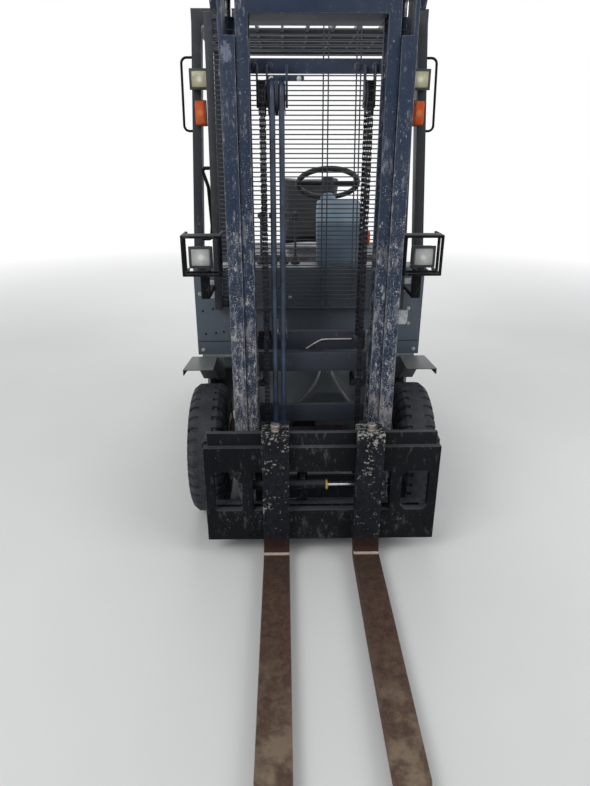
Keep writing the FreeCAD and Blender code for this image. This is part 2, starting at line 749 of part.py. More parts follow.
bar_front = mast - s.base_bar_ahead
bar_back = bar_front + s.base_bar_thick
carriage_half = s.carriage_wide / 2
upper_z = (s.bar_low + s.bar_apart - 182, s.bar_low + s.bar_apart - 67)
lower_z = (s.bar_low + 36, s.bar_low + 136)
cheek = plate("cheek", "YZ_Plane", [
    (bar_back - 10, s.cheek_low), (mast + 60, s.cheek_low), (mast + 95, s.cheek_low + 40),
    (mast + 95, s.cheek_top - 60), (mast + 60, s.cheek_top), (bar_back - 10, s.cheek_top)],
    s.cheek_in, s.cheek_out)
ram_z = (s.shift_cylinder_up - 30, s.shift_cylinder_up + 30)
carriage_parts = [
    box("base_upper_bar", (-carriage_half, carriage_half), (bar_front, bar_back), upper_z),
    box("base_lower_bar", (-carriage_half, carriage_half), (bar_front, bar_back), lower_z),
    box("anchor_beam", (-s.cheek_in, s.cheek_in), (mast + 55, mast + 95), (225, 255)),
    box("hose_block", (-s.hose_one - 20, -s.hose_two + 20), (mast + 40, mast + 80), (255, s.hose_foot)),
    box("ram_saddle_one", (-250, -226), (mast - 84, bar_front + 22), ram_z),
    box("ram_saddle_two", (-60, -36), (mast - 84, bar_front + 22), ram_z),
    box("centre_post", (-70, -26), (bar_front + 20, bar_back), (lower_z[1], upper_z[0])),
]
carriage_parts += both(
    cheek,
    box("base_post", (180, 252), (bar_front + 20, bar_back), (lower_z[1], upper_z[0])),
    box("chain_stud", (s.chain_out - 9, s.chain_out + 9), (front_chain_y - 7, front_chain_y + 7),
        (255, s.chain_anchor)),
    box("slide_pad", (270, 400), (bar_front + 5, bar_back - 5),
        (upper_z[1], upper_z[1] + s.slide_gap - s.running_gap)),
)
ram_y = mast - 82
saddle_bore = rod("saddle_bore", "X", (ram_y, s.shift_cylinder_up), (-260, -20),
                  s.shift_barrel_rad + s.running_gap)
node(cut("carriage_frame", fuse("carriage_all", carriage_parts), [saddle_bore]), "carriage_frame")

roller_parts = []
for name, up in (("low", 190), ("high", 440)):
    roller_parts += both(
        rod(f"{name}_roller", "X", (guide_y, up), (s.cheek_out + 7, web_in - 2), s.carriage_roller_rad),
        rod(f"{name}_roller_shaft", "X", (guide_y, up), (s.cheek_out, s.cheek_out + 7), 16))
node(fuse("carriage_rollers", roller_parts), "carriage_rollers")

ram_bore = s.shift_rod_rad + 3
ram_end = 60
ram_place = (ram_y, s.shift_cylinder_up)
ram_barrel = rod("ram_barrel", "X", ram_place, (-292, ram_end), s.shift_barrel_rad)
node(cut("sideshift_cylinder", ram_barrel, [rod("ram_bore", "X", ram_place, (-280, ram_end + 1), ram_bore)]),
     "sideshift_cylinder")

# Side-shift frame: a plate with three windows, hooked over the upper bar and under the lower one

shift_front = mast - s.carriage_ahead
shift_back = shift_front + s.plate_thick
shift_half = s.shift_wide / 2
mid = s.shift_now
bar_top = s.bar_low + s.bar_apart
ledge = bar_top - s.top_strip_tall
face = plate("shift_face", "XZ_Plane", [
    (mid - shift_half, s.bar_low), (mid + shift_half, s.bar_low), (mid + shift_half, ledge), (mid - shift_half, ledge)],
    shift_front, shift_back)
window_z = (s.bar_low + s.bar_lower_tall, bar_top - s.bar_upper_tall)


def window(name, x, c, far):
    """A hole with chamfered corners through the side-shift plate. far is the chamfer at its upper right."""
    low, high = window_z
    return plate(name, "XZ_Plane", [
        (x[0] + c, low), (x[1] - c, low), (x[1], low + c), (x[1], high - far),
        (x[1] - far, high), (x[0] + c, high), (x[0], high - c), (x[0], low + c)], shift_front - 1, shift_back + 1)


windows = [
    window("left_window", (mid - shift_half + s.end_strap, mid - s.post_out), s.window_chamfer / 2,
           s.gusset_reach),
    window("middle_window", (mid - s.post_in, mid + s.post_in), s.window_chamfer / 4, s.window_chamfer / 4),
    window("right_window", (mid + s.post_out, mid + shift_half - s.end_strap), s.window_chamfer,
           s.window_chamfer / 2),
]
hook_under = upper_z[1] + s.slide_gap
hook = plate("upper_hook", "YZ_Plane", [
    (shift_back, hook_under), (bar_back + 5, hook_under), (bar_back + 5, hook_under - 23),
    (bar_back + 24, hook_under - 23), (bar_back + 24, hook_under + 14), (bar_back + 18, hook_under + 20),
    (shift_back, hook_under + 20)], mid - shift_half, mid + shift_half)
strip = box("top_strip", (mid - shift_half + s.strip_short, mid + shift_half - s.strip_short),
            (shift_front + s.strip_setback, shift_back + 5), (ledge, bar_top))
shift_parts = [cut("shift_plate", face, windows), hook, strip]
for tag, x in (("left", mid - 300), ("right", mid + 300)):
    shift_parts.append(plate(f"lower_hook_{tag}", "YZ_Plane", [
        (shift_back, 92), (bar_back + 20, 92), (bar_back + 20, 128), (bar_back + 5, 128), (bar_back + 5, 112),
        (shift_back, 112)], x - 50, x + 50))
rod_lug_x = (mid + s.post_in + 6, mid + s.post_in + 30)
shift_parts.append(box("rod_lug", rod_lug_x, (shift_back, ram_y + 18),
                       (s.shift_cylinder_up - 22, s.shift_cylinder_up + 22)))
node(fuse("sideshift_frame", shift_parts), "sideshift_frame")
node(rod("sideshift_rod", "X", ram_place, (-120, rod_lug_x[0]), s.shift_rod_rad), "sideshift_rod")

# Forks: forged L shapes that hang on the top strip and taper to the tip

fork_front = shift_front - s.fork_thick
tip = fork_front - s.fork_long
blade_top = s.fork_under + s.fork_thick
hook_y = shift_back + 5 + s.running_gap
hook_z = bar_top + s.running_gap
fork_back = shift_front - s.running_gap
for tag, side in (("left", -1), ("right", 1)):
    centre = mid + side * s.fork_spacing / 2
    x = (centre - s.fork_wide / 2, centre + s.fork_wide / 2)
    profile = plate(f"fork_profile_{tag}", "YZ_Plane", [
        (tip, blade_top - s.fork_tip_thick), (tip + s.fork_long * 0.6, s.fork_under), (fork_back, s.fork_under),
        (fork_back, hook_z), (hook_y, hook_z), (hook_y, hook_z - 20),
        (hook_y + 16, hook_z - 20), (hook_y + 16, hook_z + s.hook_thick), (fork_front, hook_z + s.hook_thick),
        (fork_front, blade_top), (tip, blade_top)], x[0], x[1])
    heel_z = s.fork_under.value
    soften(profile, s.fork_heel, lambda edge, point: along(edge, X_WAY) and abs(point.z - heel_z) < 1
           and abs(point.y - fork_back.value) < 1)
    inner_heel = (fork_front.value, blade_top.value)
    soften(profile, s.fork_heel - 25, lambda edge, point: along(edge, X_WAY)
           and abs(point.y - inner_heel[0]) < 1 and abs(point.z - inner_heel[1]) < 1)
    nose = 30
    tips = [plate(f"nose_{name}_{tag}", "XY_Plane", [
        (edge + way * nose, tip - 1), (edge + way * -1, tip - 1), (edge + way * -1, tip + 150)], 0, 60)
        for name, edge, way in (("a", x[0], 1), ("b", x[1], -1))]
    node(cut(f"fork_{tag}", profile, tips), f"fork_{tag}")

pin_parts = []
for tag, side in (("left", -1), ("right", 1)):
    place = (mid + side * s.fork_spacing / 2, shift_front - 14)
    top = hook_z + s.hook_thick
    pin_parts.append(fuse(f"pin_{tag}", [
        rod(f"pin_collar_{tag}", "Z", place, (top + s.running_gap, top + 12), 16),
        rod(f"pin_neck_{tag}", "Z", place, (top + 12, top + 20), 9),
        rod(f"pin_cap_{tag}", "Z", place, (top + 20, top + 34), 18)]))
node(fuse("fork_pins", pin_parts), "fork_pins")

# Tilt cylinders: barrels on clevises in the frame, rods to the pins on the outer mast

base_y = axle + s.tilt_base_back
reach_y = eye_y.value - base_y.value
reach_z = s.tilt_eye_up.value - s.tilt_base_up.value
reach = math.hypot(reach_y, reach_z)
slope = math.degrees(math.atan2(reach_z, -reach_y))


def on_tilt_line(name, pieces):
    """Join shapes drawn along -Y from the base pin and turn them onto the cylinder's line."""
    item = fuse(name, pieces)
    item.Placement = Placement(Vector(0, base_y.value, s.tilt_base_up.value), Rotation(Vector(1, 0, 0), -slope))
    return item


tilt_x = (s.tilt_out - 12, s.tilt_out + 12)
gland = 400
barrel_eye = cut("base_eye", rod("base_eye_ring", "X", (0, 0), tilt_x, 32),
                 [rod("base_eye_bore", "X", (0, 0), (tilt_x[0] - 1, tilt_x[1] + 1), s.tilt_pin_rad + 0.06)])
barrel_tube = cut("tilt_tube", fuse("tilt_tube_body", [
    rod("tilt_neck", "Y", (s.tilt_out, 0), (-46, -28), 12),
    rod("tilt_tube_round", "Y", (s.tilt_out, 0), (-gland, -46), s.tilt_barrel_rad),
    rod("tilt_gland", "Y", (s.tilt_out, 0), (-gland - 16, -gland), s.tilt_barrel_rad + 3)]),
    [rod("tilt_tube_bore", "Y", (s.tilt_out, 0), (-gland - 17, -60), s.tilt_rod_rad + s.running_gap)])
node(on_tilt_line("tilt_barrels", both(fuse("tilt_barrel", [barrel_eye, barrel_tube]))), "tilt_barrels")
eye_bore = s.tilt_pin_rad + s.tilt_eye_slack
rod_eye = cut("rod_eye", fuse("rod_eye_body", [
    rod("rod_eye_ring", "X", (-reach, 0), (s.tilt_out - 10, s.tilt_out + 10), eye_bore + 14),
    rod("tilt_rod", "Y", (s.tilt_out, 0), (-reach + 22, -180), s.tilt_rod_rad)]),
    [rod("rod_eye_bore", "X", (-reach, 0), (s.tilt_out - 12, s.tilt_out + 12), eye_bore)])
node(on_tilt_line("tilt_rods", both(rod_eye)), "tilt_rods")

# Chassis frame: bulkhead, axle plates, side sills, floor and the battery tray

bulk_front = axle + s.cowl_front - 20
bulk_back = axle + s.cowl_front
sill_in = half_body - 70
tray_half = half_body - 20
bulkhead = cut("bulkhead", box("bulkhead_wall", (-(front_track_in - 15), front_track_in - 15),
                               (bulk_front, bulk_back), (260, s.cowl_low + 14)),
               both(box("tilt_slot", (s.tilt_out - 50, s.tilt_out + 50), (bulk_front - 1, bulk_back + 1),
                        (540, 690)))
               + [plate("trapezoid_hole", "XZ_Plane", [
                   (-68, 400), (200, 400), (192, 440), (192, 505), (39, 505)], bulk_front - 1, bulk_back + 1)])
axle_plate = cut("axle_plate_bored", plate("axle_plate", "YZ_Plane", [
    (axle - 40, s.front_rad - 90), (bulk_back, s.front_rad - 90), (bulk_back, s.cowl_low),
    (axle + 150, s.cowl_low),
    (axle + 60, s.front_rad + 160), (axle - 40, s.front_rad + 80)], s.outer_in + 20, s.outer_in + 48), [
    rod("axle_seat", "X", (axle, s.front_rad), (s.outer_in, s.outer_in + 60), s.axle_rad + 0.1)])
clevis = fuse("clevis", [
    box("clevis_in", (s.tilt_out - 30, s.tilt_out - 16), (base_y - 26, base_y + 52),
        (s.tilt_base_up - 28, s.tilt_base_up + 28)),
    box("clevis_out", (s.tilt_out + 16, s.tilt_out + 30), (base_y - 26, base_y + 52),
        (s.tilt_base_up - 28, s.tilt_base_up + 28)),
    rod("clevis_pin", "X", (base_y, s.tilt_base_up), (s.tilt_out - 36, s.tilt_out + 36), s.tilt_pin_rad)])
hinge_y = axle + s.hood_back + 9
hinge_z = s.hood_low + 20
hinge_end = 380
step_front = axle + s.front_rad + 40
port_high, port_low, port_long = 668, 444, 14
frame_parts = [rod(f"hose_port_{number}", "Y", place, (bulk_front - port_long, bulk_front + 1), 13)
               for number, place in enumerate(((52, port_high), (104, port_high), (-92, port_low), (226, port_low)))]
frame_parts += [
    bulkhead,
    box("firewall", (-tray_half, tray_half), (base_y + 52, base_y + 66), (225, s.floor_up - 14)),
    box("tray_floor", (-sill_in, sill_in), (base_y + 66, axle + s.weight_front), (300, 330)),
    box("floor", (-tray_half, tray_half), (axle + 366, base_y + 66), (s.floor_up - 14, s.floor_up)),
    box("floor_front", (-tray_half, tray_half), (bulk_back, axle + 380), (s.cowl_low, s.cowl_low + 14)),
    box("toe_board", (-tray_half, tray_half), (axle + 366, axle + 380), (s.floor_up, s.cowl_low)),
    box("rear_wall", (-sill_in, sill_in), (axle + s.battery_back + 20, axle + s.weight_front), (330, 900)),
]
frame_parts += both(
    axle_plate, clevis,
    box("sill", (sill_in, half_body), (step_front, axle + s.weight_front), (280, 400)),
    box("step_riser", (tray_half - 14, tray_half), (step_front, base_y + 66), (400, s.floor_up - 14)),
    box("hinge_lug", (hinge_end + s.running_gap, hinge_end + 14), (hinge_y - 9, hinge_y + 8),
        (896, hinge_z + 9)),
    box("inner_sill", (s.tilt_out + 44, s.tilt_out + 66), (bulk_back, base_y + 52), (300, 420)),
)
node(fuse("frame", frame_parts), "frame")

# Feed hoses: two short lines that leave the bulkhead behind the mast and return beside its opening

FEED_HOSE = 14
# Each row: name, X at the upper port, then X at each later point of its route
for tag, across in (("left", (52, 52, 46, 20, -28, -66, -86, -92, -92)),
                    ("right", (104, 104, 110, 136, 178, 208, 222, 226, 226))):
    ahead = (port_long, 62, 104, 138, 140, 118, 82, 46, port_long)
    up = (port_high, port_high, 646, 598, 540, 486, 455, port_low, port_low)
    route = [(x, bulk_front - y, z) for x, y, z in zip(across, ahead, up)]
    node(free_hose(f"feed_line_{tag}", route, FEED_HOSE / 2), f"feed_hose_{tag}")

# Cowl: a folded steel front below the mesh screen

cowl_back = axle + 420
cowl_y = (bulk_back, bulk_back + s.wall)
cowl_parts = [
    box("cowl_face", (-half_body, half_body), cowl_y, (s.cowl_low + 14, s.cowl_top)),
    box("cowl_shelf", (-half_body + s.wall, half_body - s.wall), (cowl_y[1], cowl_back - 60),
        (s.cowl_top - s.wall, s.cowl_top)),
]
cowl_parts += both(plate("cowl_side", "YZ_Plane", [
    (cowl_y[1], s.cowl_low + 14), (cowl_back, s.cowl_low + 14), (cowl_back - 60, s.cowl_top),
    (cowl_y[1], s.cowl_top)],
    half_body - s.wall, half_body))
node(fuse("cowl", cowl_parts), "cowl")

fender_in = front_track_in + 72
fender_out = half_body + 50
fender_y = axle + 28
fender_lip = 24
fender = fuse("fender", [
    plate("fender_flat", "XY_Plane", [
        (fender_in, fender_y), (fender_out, fender_y), (fender_out - 18, bulk_back), (fender_in, bulk_back)],
        s.cowl_low, s.cowl_low + 4),
    plate("fender_lip", "XY_Plane", [
        (fender_out - 4, fender_y), (fender_out, fender_y), (fender_out - 18, bulk_back), (fender_out - 22, bulk_back)],
        s.cowl_low - fender_lip, s.cowl_low + 4),
    plate("fender_apron", "XZ_Plane", [
        (fender_in - 34, s.cowl_low), (half_body + 28, s.cowl_low), (half_body - 20, s.cowl_low - 112),
        (fender_in - 34, s.cowl_low - 112)], bulk_back - 5, bulk_back),
    plate("fender_gusset", "YZ_Plane", [(bulk_back - 150, s.cowl_low), (bulk_back, s.cowl_low - 120),
                                        (bulk_back, s.cowl_low)], fender_in, fender_in + 6)])
node(fuse("front_fenders", both(fender)), "front_fenders")

side_panel = plate("side_panel", "YZ_Plane", [
    (axle + s.battery_front, 400), (axle + s.weight_front - 5, 400), (axle + s.weight_front - 5, s.hood_low - 5),
    (axle + s.hood_front + 20, s.hood_low - 5), (axle + s.hood_front + 20, s.floor_up + 60),
    (axle + s.battery_front, s.floor_up + 6)],
    half_body - 40, half_body)
node(fuse("side_panels", both(side_panel)), "side_panels")
node(box("battery", (-battery_half, battery_half), (axle + s.battery_front, axle + s.battery_back),
         (s.battery_low, s.battery_top)), "battery")

# Counterweight: a cast block with round rear corners, wheel wells and a towing slot

weight_front = axle + s.weight_front
block = plate("weight_block", "XY_Plane", [
    (-half_body, weight_front), (half_body, weight_front), (half_body, rear_end), (-half_body, rear_end)],
    s.weight_low, s.weight_top)
soften(block, 240, lambda edge, point: along(edge, Z_WAY) and abs(point.y - rear_end.value) < 1)
wells = both(rod("steer_well", "Z", (kingpin_out, rear_axle), (s.weight_low - 1, s.well_top), s.well_rad))
wells += [
    plate("rear_slope", "YZ_Plane", [
        (rear_end - 190, s.weight_top + 1), (rear_end + 1, s.weight_top + 1), (rear_end + 1, s.weight_top - 240),
        (rear_end - 34, s.weight_top - 130), (rear_end - 90, s.weight_top - 45)], -half_body - 1, half_body + 1),
    plate("rear_undercut", "YZ_Plane", [
        (rear_end - 70, s.weight_low - 1), (rear_end + 1, s.weight_low - 1), (rear_end + 1, s.weight_low + 190)],
        -half_body - 1, half_body + 1),
    box("well_middle", (-kingpin_out, kingpin_out), (rear_axle - 200, rear_axle + 150),
        (s.weight_low - 1, s.well_top)),
    box("tow_slot", (-70, 70), (rear_end - 150, rear_end + 1), (430, 500)),
    rod("tow_bore", "Z", (0, rear_end - s.tow_pin_in), (370, s.weight_top + 1), s.tow_pin_rad),
]
node(cut("counterweight", block, wells), "counterweight")

# Overhead guard: raked front legs, upright rear legs and a roof of thin bars

roof_low = s.guard_up - s.guard_rail
roof_front = axle + 400
roof_back = axle + 1370
rail_in = guard_half - 40
guard_parts = [
    box("roof_front_bar", (-rail_in, rail_in), (roof_front, roof_front + 50), (roof_low, s.guard_up)),
    box("roof_rear_bar", (-rail_in, rail_in), (roof_back - 50, roof_back), (roof_low, s.guard_up)),
]
bar_count = int((2 * rail_in.value - 40) // s.roof_pitch.value)
for number in range(bar_count):
    middle = (number - (bar_count - 1) / 2) * s.roof_pitch
    guard_parts.append(box(f"roof_bar_{number}", (middle - s.roof_bar / 2, middle + s.roof_bar / 2),
                           (roof_front + 50, roof_back - 50), (roof_low + 15, s.guard_up - 5)))
for number, back in enumerate((320, 490, 660, 830)):
    guard_parts.append(box(f"roof_cross_{number}", (-rail_in, rail_in), (roof_front + back, roof_front + back + 30),
                           (roof_low + 5, roof_low + 35)))
leg_foot = s.cowl_top
leg_foot_y = cowl_back - 145
leg_deep = 80
leg_wide = half_body - rail_in - (half_body - guard_half)


def leg_part(up):
    """How far up its length a front leg is, from 0 at its foot to 1 under the roof."""
    return (up - leg_foot) / (roof_low - leg_foot)


def leg_front(up):
    return leg_foot_y + (roof_front - leg_foot_y) * leg_part(up)


def leg_side(up):
    """The outer face of a front leg, as a distance from the middle plane."""
    return half_body - (half_body - guard_half) * leg_part(up)


guard_parts += both(
    box("roof_side_rail", (rail_in, guard_half), (roof_front, roof_back), (roof_low, s.guard_up)),
    raked("front_leg", (half_body - leg_wide, half_body, leg_foot_y, leg_foot_y + leg_deep, leg_foot),
          (rail_in, guard_half, roof_front, roof_front + leg_deep, roof_low)),
    raked("rear_leg", (guard_half - 20, guard_half + 20, weight_front + 35, weight_front + 95, s.weight_top),
          (rail_in, guard_half, roof_back - 70, roof_back, roof_low)),
)
node(fuse("overhead_guard", guard_parts), "overhead_guard")

# Mesh screen between the mast and the driver: a raked frame with level wires

screen_foot = axle + 172
screen_head = axle + 316
screen_top = roof_low + s.screen_above_rail
rise = screen_top - s.screen_low
lean = (screen_head - screen_foot) / rise
bar = s.screen_bar
thick = 22


def screen_y(up):
    return screen_foot + lean * (up - s.screen_low)


screen_parts = both(raked("screen_side", (screen_half - bar, screen_half, screen_foot, screen_foot + thick, s.screen_low),
                          (screen_half - bar, screen_half, screen_head, screen_head + thick, screen_top)))
for name, low, high in (("screen_foot_bar", s.screen_low, s.screen_low + 10),
                        ("screen_head_bar", screen_top - 30, screen_top)):
    screen_parts.append(raked(name, (-screen_half, screen_half, screen_y(low), screen_y(low) + thick, low),
                              (-screen_half, screen_half, screen_y(high), screen_y(high) + thick, high)))
wires = int((rise.value - 60) // s.mesh_pitch.value)
for number in range(1, wires + 1):
    up = s.screen_low + 25 + number * s.mesh_pitch
    middle = screen_y(up) + thick / 2
    screen_parts.append(box(f"mesh_wire_{number}", (-screen_half + bar / 2, screen_half - bar / 2),
                            (middle - s.mesh_wire / 2, middle + s.mesh_wire / 2), (up, up + s.mesh_wire)))
for number, across in enumerate((90 - screen_half, 160 - screen_half, 56, 78, 200, 218, screen_half - 90)):
    low = (across - 3, across + 3, screen_y(s.screen_low) + 8, screen_y(s.screen_low) + 14, s.screen_low + 10)
    high = (across - 3, across + 3, screen_y(screen_top) + 8, screen_y(screen_top) + 14, screen_top - 10)
    screen_parts.append(raked(f"mesh_post_{number}", low, high))
screen_parts += both(
    box("screen_foot_tab", (screen_half - 60, screen_half - 20), (screen_foot + thick, bulk_back),
        (s.screen_low, s.screen_low + 60)),
    box("screen_head_tab", (screen_half - 60, screen_half - 20), (screen_head + 4, roof_front + 20),
        (roof_low - 50, roof_low)),
)
node(fuse("mesh_screen", screen_parts), "mesh_screen")

# Lamps and their guards on the legs and the cowl

cage_parts = []
cage_box = (385, 550, 1160, 1330)
lamp_parts = []
for name, back in (("front", 0), ("middle", 60)):
    y = axle - 80 + back
    frame_out = box(f"cage_{name}", (cage_box[0], cage_box[1]), (y, y + 12), (cage_box[2], cage_box[3]))
    frame_in = box(f"cage_{name}_hole", (cage_box[0] + 12, cage_box[1] - 12), (y - 1, y + 13),
                   (cage_box[2] + 12, cage_box[3] - 12))
    cage_parts.append(cut(f"cage_ring_{name}", frame_out, [frame_in]))
for number, (x, z) in enumerate(((385, 1160), (538, 1160), (385, 1318), (538, 1318))):
    cage_parts.append(box(f"cage_rod_{number}", (x, x + 12), (axle - 70, axle + 60), (z, z + 12)))
cage_parts.append(box("cage_foot", (450, 490), (axle + 20, axle + 40), (1060, 1172)))
cage_parts.append(box("cage_arm", (450, 490), (axle + 20, bulk_back), (1040, 1062)))
cage_parts.append(box("cage_roof", (cage_box[0], cage_box[1]), (axle - 80, axle - 8),
                      (cage_box[3] - 5, cage_box[3])))
cage_parts.append(box("cage_shelf", (440, 500), (axle - 60, axle + 60), (1172, 1182)))
guards = both(fuse("lamp_cage", cage_parts))
hoop_low = roof_low - 427
hoop_high = roof_low - 127
hoop_out = half_body + 22
for tag, side in (("left", -1), ("right", 1)):
    middle = leg_deep / 2
    route = [(side * (leg_side(hoop_high) + 0.7), leg_front(hoop_high) + middle, hoop_high),
             (side * hoop_out, leg_front(hoop_high) + middle, hoop_high),
             (side * hoop_out, leg_front(hoop_low) + middle, hoop_low),
             (side * (leg_side(hoop_low) + 0.7), leg_front(hoop_low) + middle, hoop_low)]
    guards.append(pipe(f"lamp_hoop_{tag}", route, 5.5, 24))
grip_high, grip_bend, grip_low = 1580, 1500, 1260
grip_out = leg_side(grip_low) - leg_wide - 0.9
guards.append(pipe("grab_handle", [
    (-(screen_half + 0.9), screen_y(grip_high) + 11, grip_high),
    (-(screen_half + 38), screen_y(grip_high) + 16, grip_high),
    (-(screen_half + 12), screen_y(grip_bend) + 30, grip_bend),
    (-(screen_half + 12), leg_front(grip_low) + 40, grip_low + 60),
    (-(screen_half + 18), leg_front(grip_low) + 40, grip_low),
    (-grip_out, leg_front(grip_low) + 40, grip_low)], 8, 14))
node(fuse("lamp_guards", guards), "lamp_guards")

headlamp = plate("headlamp", "XZ_Plane", [
    (436, 1196), (506, 1196), (518, 1208), (518, 1268), (506, 1280), (436, 1280), (424, 1268), (424, 1208)],
    axle - 68, axle - 14)
work_lamp = roof_low - s.work_lamp_down
turn_lamp = roof_low - s.turn_lamp_down
lamp_face = leg_front(work_lamp + 40) - 58
upper_lamp = plate("upper_lamp", "XZ_Plane", [
    (453, work_lamp), (509, work_lamp), (521, work_lamp + 14), (525, work_lamp + 66), (515, work_lamp + 80),
    (449, work_lamp + 80), (439, work_lamp + 66), (443, work_lamp + 14)],
    lamp_face, lamp_face + 52)
lens = [headlamp, upper_lamp,
        box("headlamp_foot", (459, 483), (axle - 52, axle - 24), (1182, 1200)),
        box("upper_lamp_arm", (478, 498), (lamp_face + 50, leg_front(work_lamp + 25) - s.running_gap),
            (work_lamp + 25, work_lamp + 45))]
node(fuse("white_lamps", both(*lens)), "white_lamps")
turn_face = leg_front(turn_lamp + 55) - 60
signals = [box("turn_lamp", (460, 508), (turn_face, turn_face + 40), (turn_lamp, turn_lamp + 102)),
           box("turn_lamp_arm", (480, 500), (turn_face + 38, leg_front(turn_lamp + 45) - s.running_gap),
               (turn_lamp + 45, turn_lamp + 65)),
           box("tail_lamp", (430, 500), (rear_end - 290, rear_end - 230), (s.weight_top + 0.3, s.weight_top + 90))]
node(fuse("signal_lamps", both(*signals)), "signal_lamps")

# Steering column, levers and pedals

console = plate("console_shell", "YZ_Plane", [
    (axle + 320, s.cowl_top), (axle + 366, s.cowl_top), (axle + 470, 1380), (axle + 440, 1434),
    (axle + 340, 1434), (axle + 320, 1380)], 40, 250)
soften(console, 24, lambda edge, point: abs(abs(point.x - 145) - 105) < 1 and point.z > 1436 - 60)
wheel_tilt = Rotation(Vector(1, 0, 0), -30)
hub_place = Vector(s.wheel_side.value, (axle + s.wheel_back).value, s.wheel_up.value)
hub_foot = 60
column = fuse("column", [rod("column_tube", "Z", (0, 0), (-190, -hub_foot - s.running_gap), 28),
                         rod("column_collar", "Z", (0, 0), (-90, -70), 36)])
column.Placement = Placement(hub_place, wheel_tilt)
node(fuse("steering_console", [console, column]), "steering_console")
ring = doc.addObject("Part::Torus", "wheel_ring")
bind(ring, Radius1=s.wheel_rim_rad - s.wheel_grip_rad, Radius2=s.wheel_grip_rad)
spokes = [box("spoke_cross", (-s.wheel_rim_rad + 20, s.wheel_rim_rad - 20), (-14, 14), (-5, 5)),
          box("spoke_low", (-14, 14), (0, s.wheel_rim_rad - 20), (-5, 5)),
          rod("wheel_hub", "Z", (0, 0), (-hub_foot, 18), 34)]
wheel_all = fuse("steering_wheel", [ring] + spokes)
wheel_all.Placement = Placement(hub_place, wheel_tilt)
node(wheel_all, "steering_wheel")

lever_parts = []
for number in range(4):
    x = -230 + number * 55
    lever_parts.append(pipe(f"lever_{number}", [
        (x, axle + 332, s.cowl_top), (x, axle + 332, 1220), (x, axle + 396, 1345)], 6, 30))
    ball = doc.addObject("Part::Sphere", f"knob_{number}")
    ball.Radius = 18
    bind(ball, px=x, py=axle + 403, pz=1359)
    lever_parts.append(ball)
node(fuse("levers", lever_parts), "levers")
pedal_parts = []
for name, x, wide in (("accelerator", -170, 70), ("brake", -60, 90)):
    pedal_parts.append(raked(name, (x, x + wide, axle + 440, axle + 452, s.floor_up + 40),
                             (x, x + wide, axle + 400, axle + 412, s.floor_up + 130)))
    pedal_parts.append(box(name + "_arm", (x + wide / 2 - 8, x + wide / 2 + 8), (axle + 380, axle + 445),
                           (s.floor_up + 60, s.floor_up + 76)))
node(fuse("pedals", pedal_parts), "pedals")

# Hood over the battery, with the seat on it. It tips back on hinges at its rear edge

hood_top = s.hood_low + s.hood_thick
hood_half = battery_half + 30
hood = plate("hood_panel", "XY_Plane", [
    (-hood_half, axle + s.hood_front), (hood_half, axle + s.hood_front), (hood_half, axle + s.hood_back),
    (-hood_half, axle + s.hood_back)], s.hood_low, hood_top)
soften(hood, 18, lambda edge, point: abs(point.z - hood_top.value) < 1)
hinge_leaves = both(rod("hood_hinge", "X", (hinge_y, hinge_z), (300, hinge_end), 8),
                    box("hinge_leaf", (300, hinge_end), (hinge_y - 12, hinge_y), (hinge_z - 4, hinge_z + 4)))
lug_notches = both(box("lug_notch", (hinge_end - 6, hinge_end + 22), (axle + s.hood_back - 18, axle + s.hood_back + 1),
                       (s.hood_low - 1, hood_top + 1)))
node(fuse("hood", [cut("hood_notched", hood, lug_notches)] + hinge_leaves), "hood")
seat_y = (axle + 690, axle + 1180)
seat_x = (s.seat_side - s.seat_half, s.seat_side + s.seat_half)
node(box("seat_base", (seat_x[0] + 30, seat_x[1] - 30), (seat_y[0] + 30, seat_y[1] - 20), (hood_top, hood_top + 40)),
     "seat_base")
cushion = plate("cushion", "XY_Plane", [
    (seat_x[0], seat_y[0]), (seat_x[1], seat_y[0]), (seat_x[1], seat_y[1]), (seat_x[0], seat_y[1])],
    hood_top + 40.3, s.seat_top)
soften(cushion, 30, lambda edge, point: abs(point.z - s.seat_top.value) < 1 or along(edge, Z_WAY))
node(cushion, "seat_cushion")
back = plate("back_rest", "YZ_Plane", [
    (seat_y[1] - 90, s.seat_top + 0.3), (seat_y[1] + 5, s.seat_top + 0.3), (seat_y[1] + 45, s.seat_back_top),
    (seat_y[1] - 35, s.seat_back_top)], seat_x[0] + 15, seat_x[1] - 15)
soften(back, 28, lambda edge, point: point.z > s.seat_top.value + 2)
node(back, "seat_back")

# Check every feature, then write one file for each sub-part

doc.recompute()
faults = [item.Name for item in doc.Objects if {"Invalid", "Error"} & set(item.State)]
if faults:
    raise RuntimeError("failed features: " + ", ".join(faults))
for item in nodes:
    if item.Shape.isNull() or not item.Shape.isValid() or not item.Shape.Solids:
        raise RuntimeError("bad shape: " + item.Label)
os.makedirs("parts", exist_ok=True)
for item in nodes:
    item.Shape.exportStep(os.path.join("parts", item.Label + ".step"))
print(len(nodes), "sub-parts,", len(SIZES), "sizes, front axle at Y", round(axle.value, 1))
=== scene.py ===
import json
import math

import bmesh
import bpy
from mathutils import Matrix, Vector

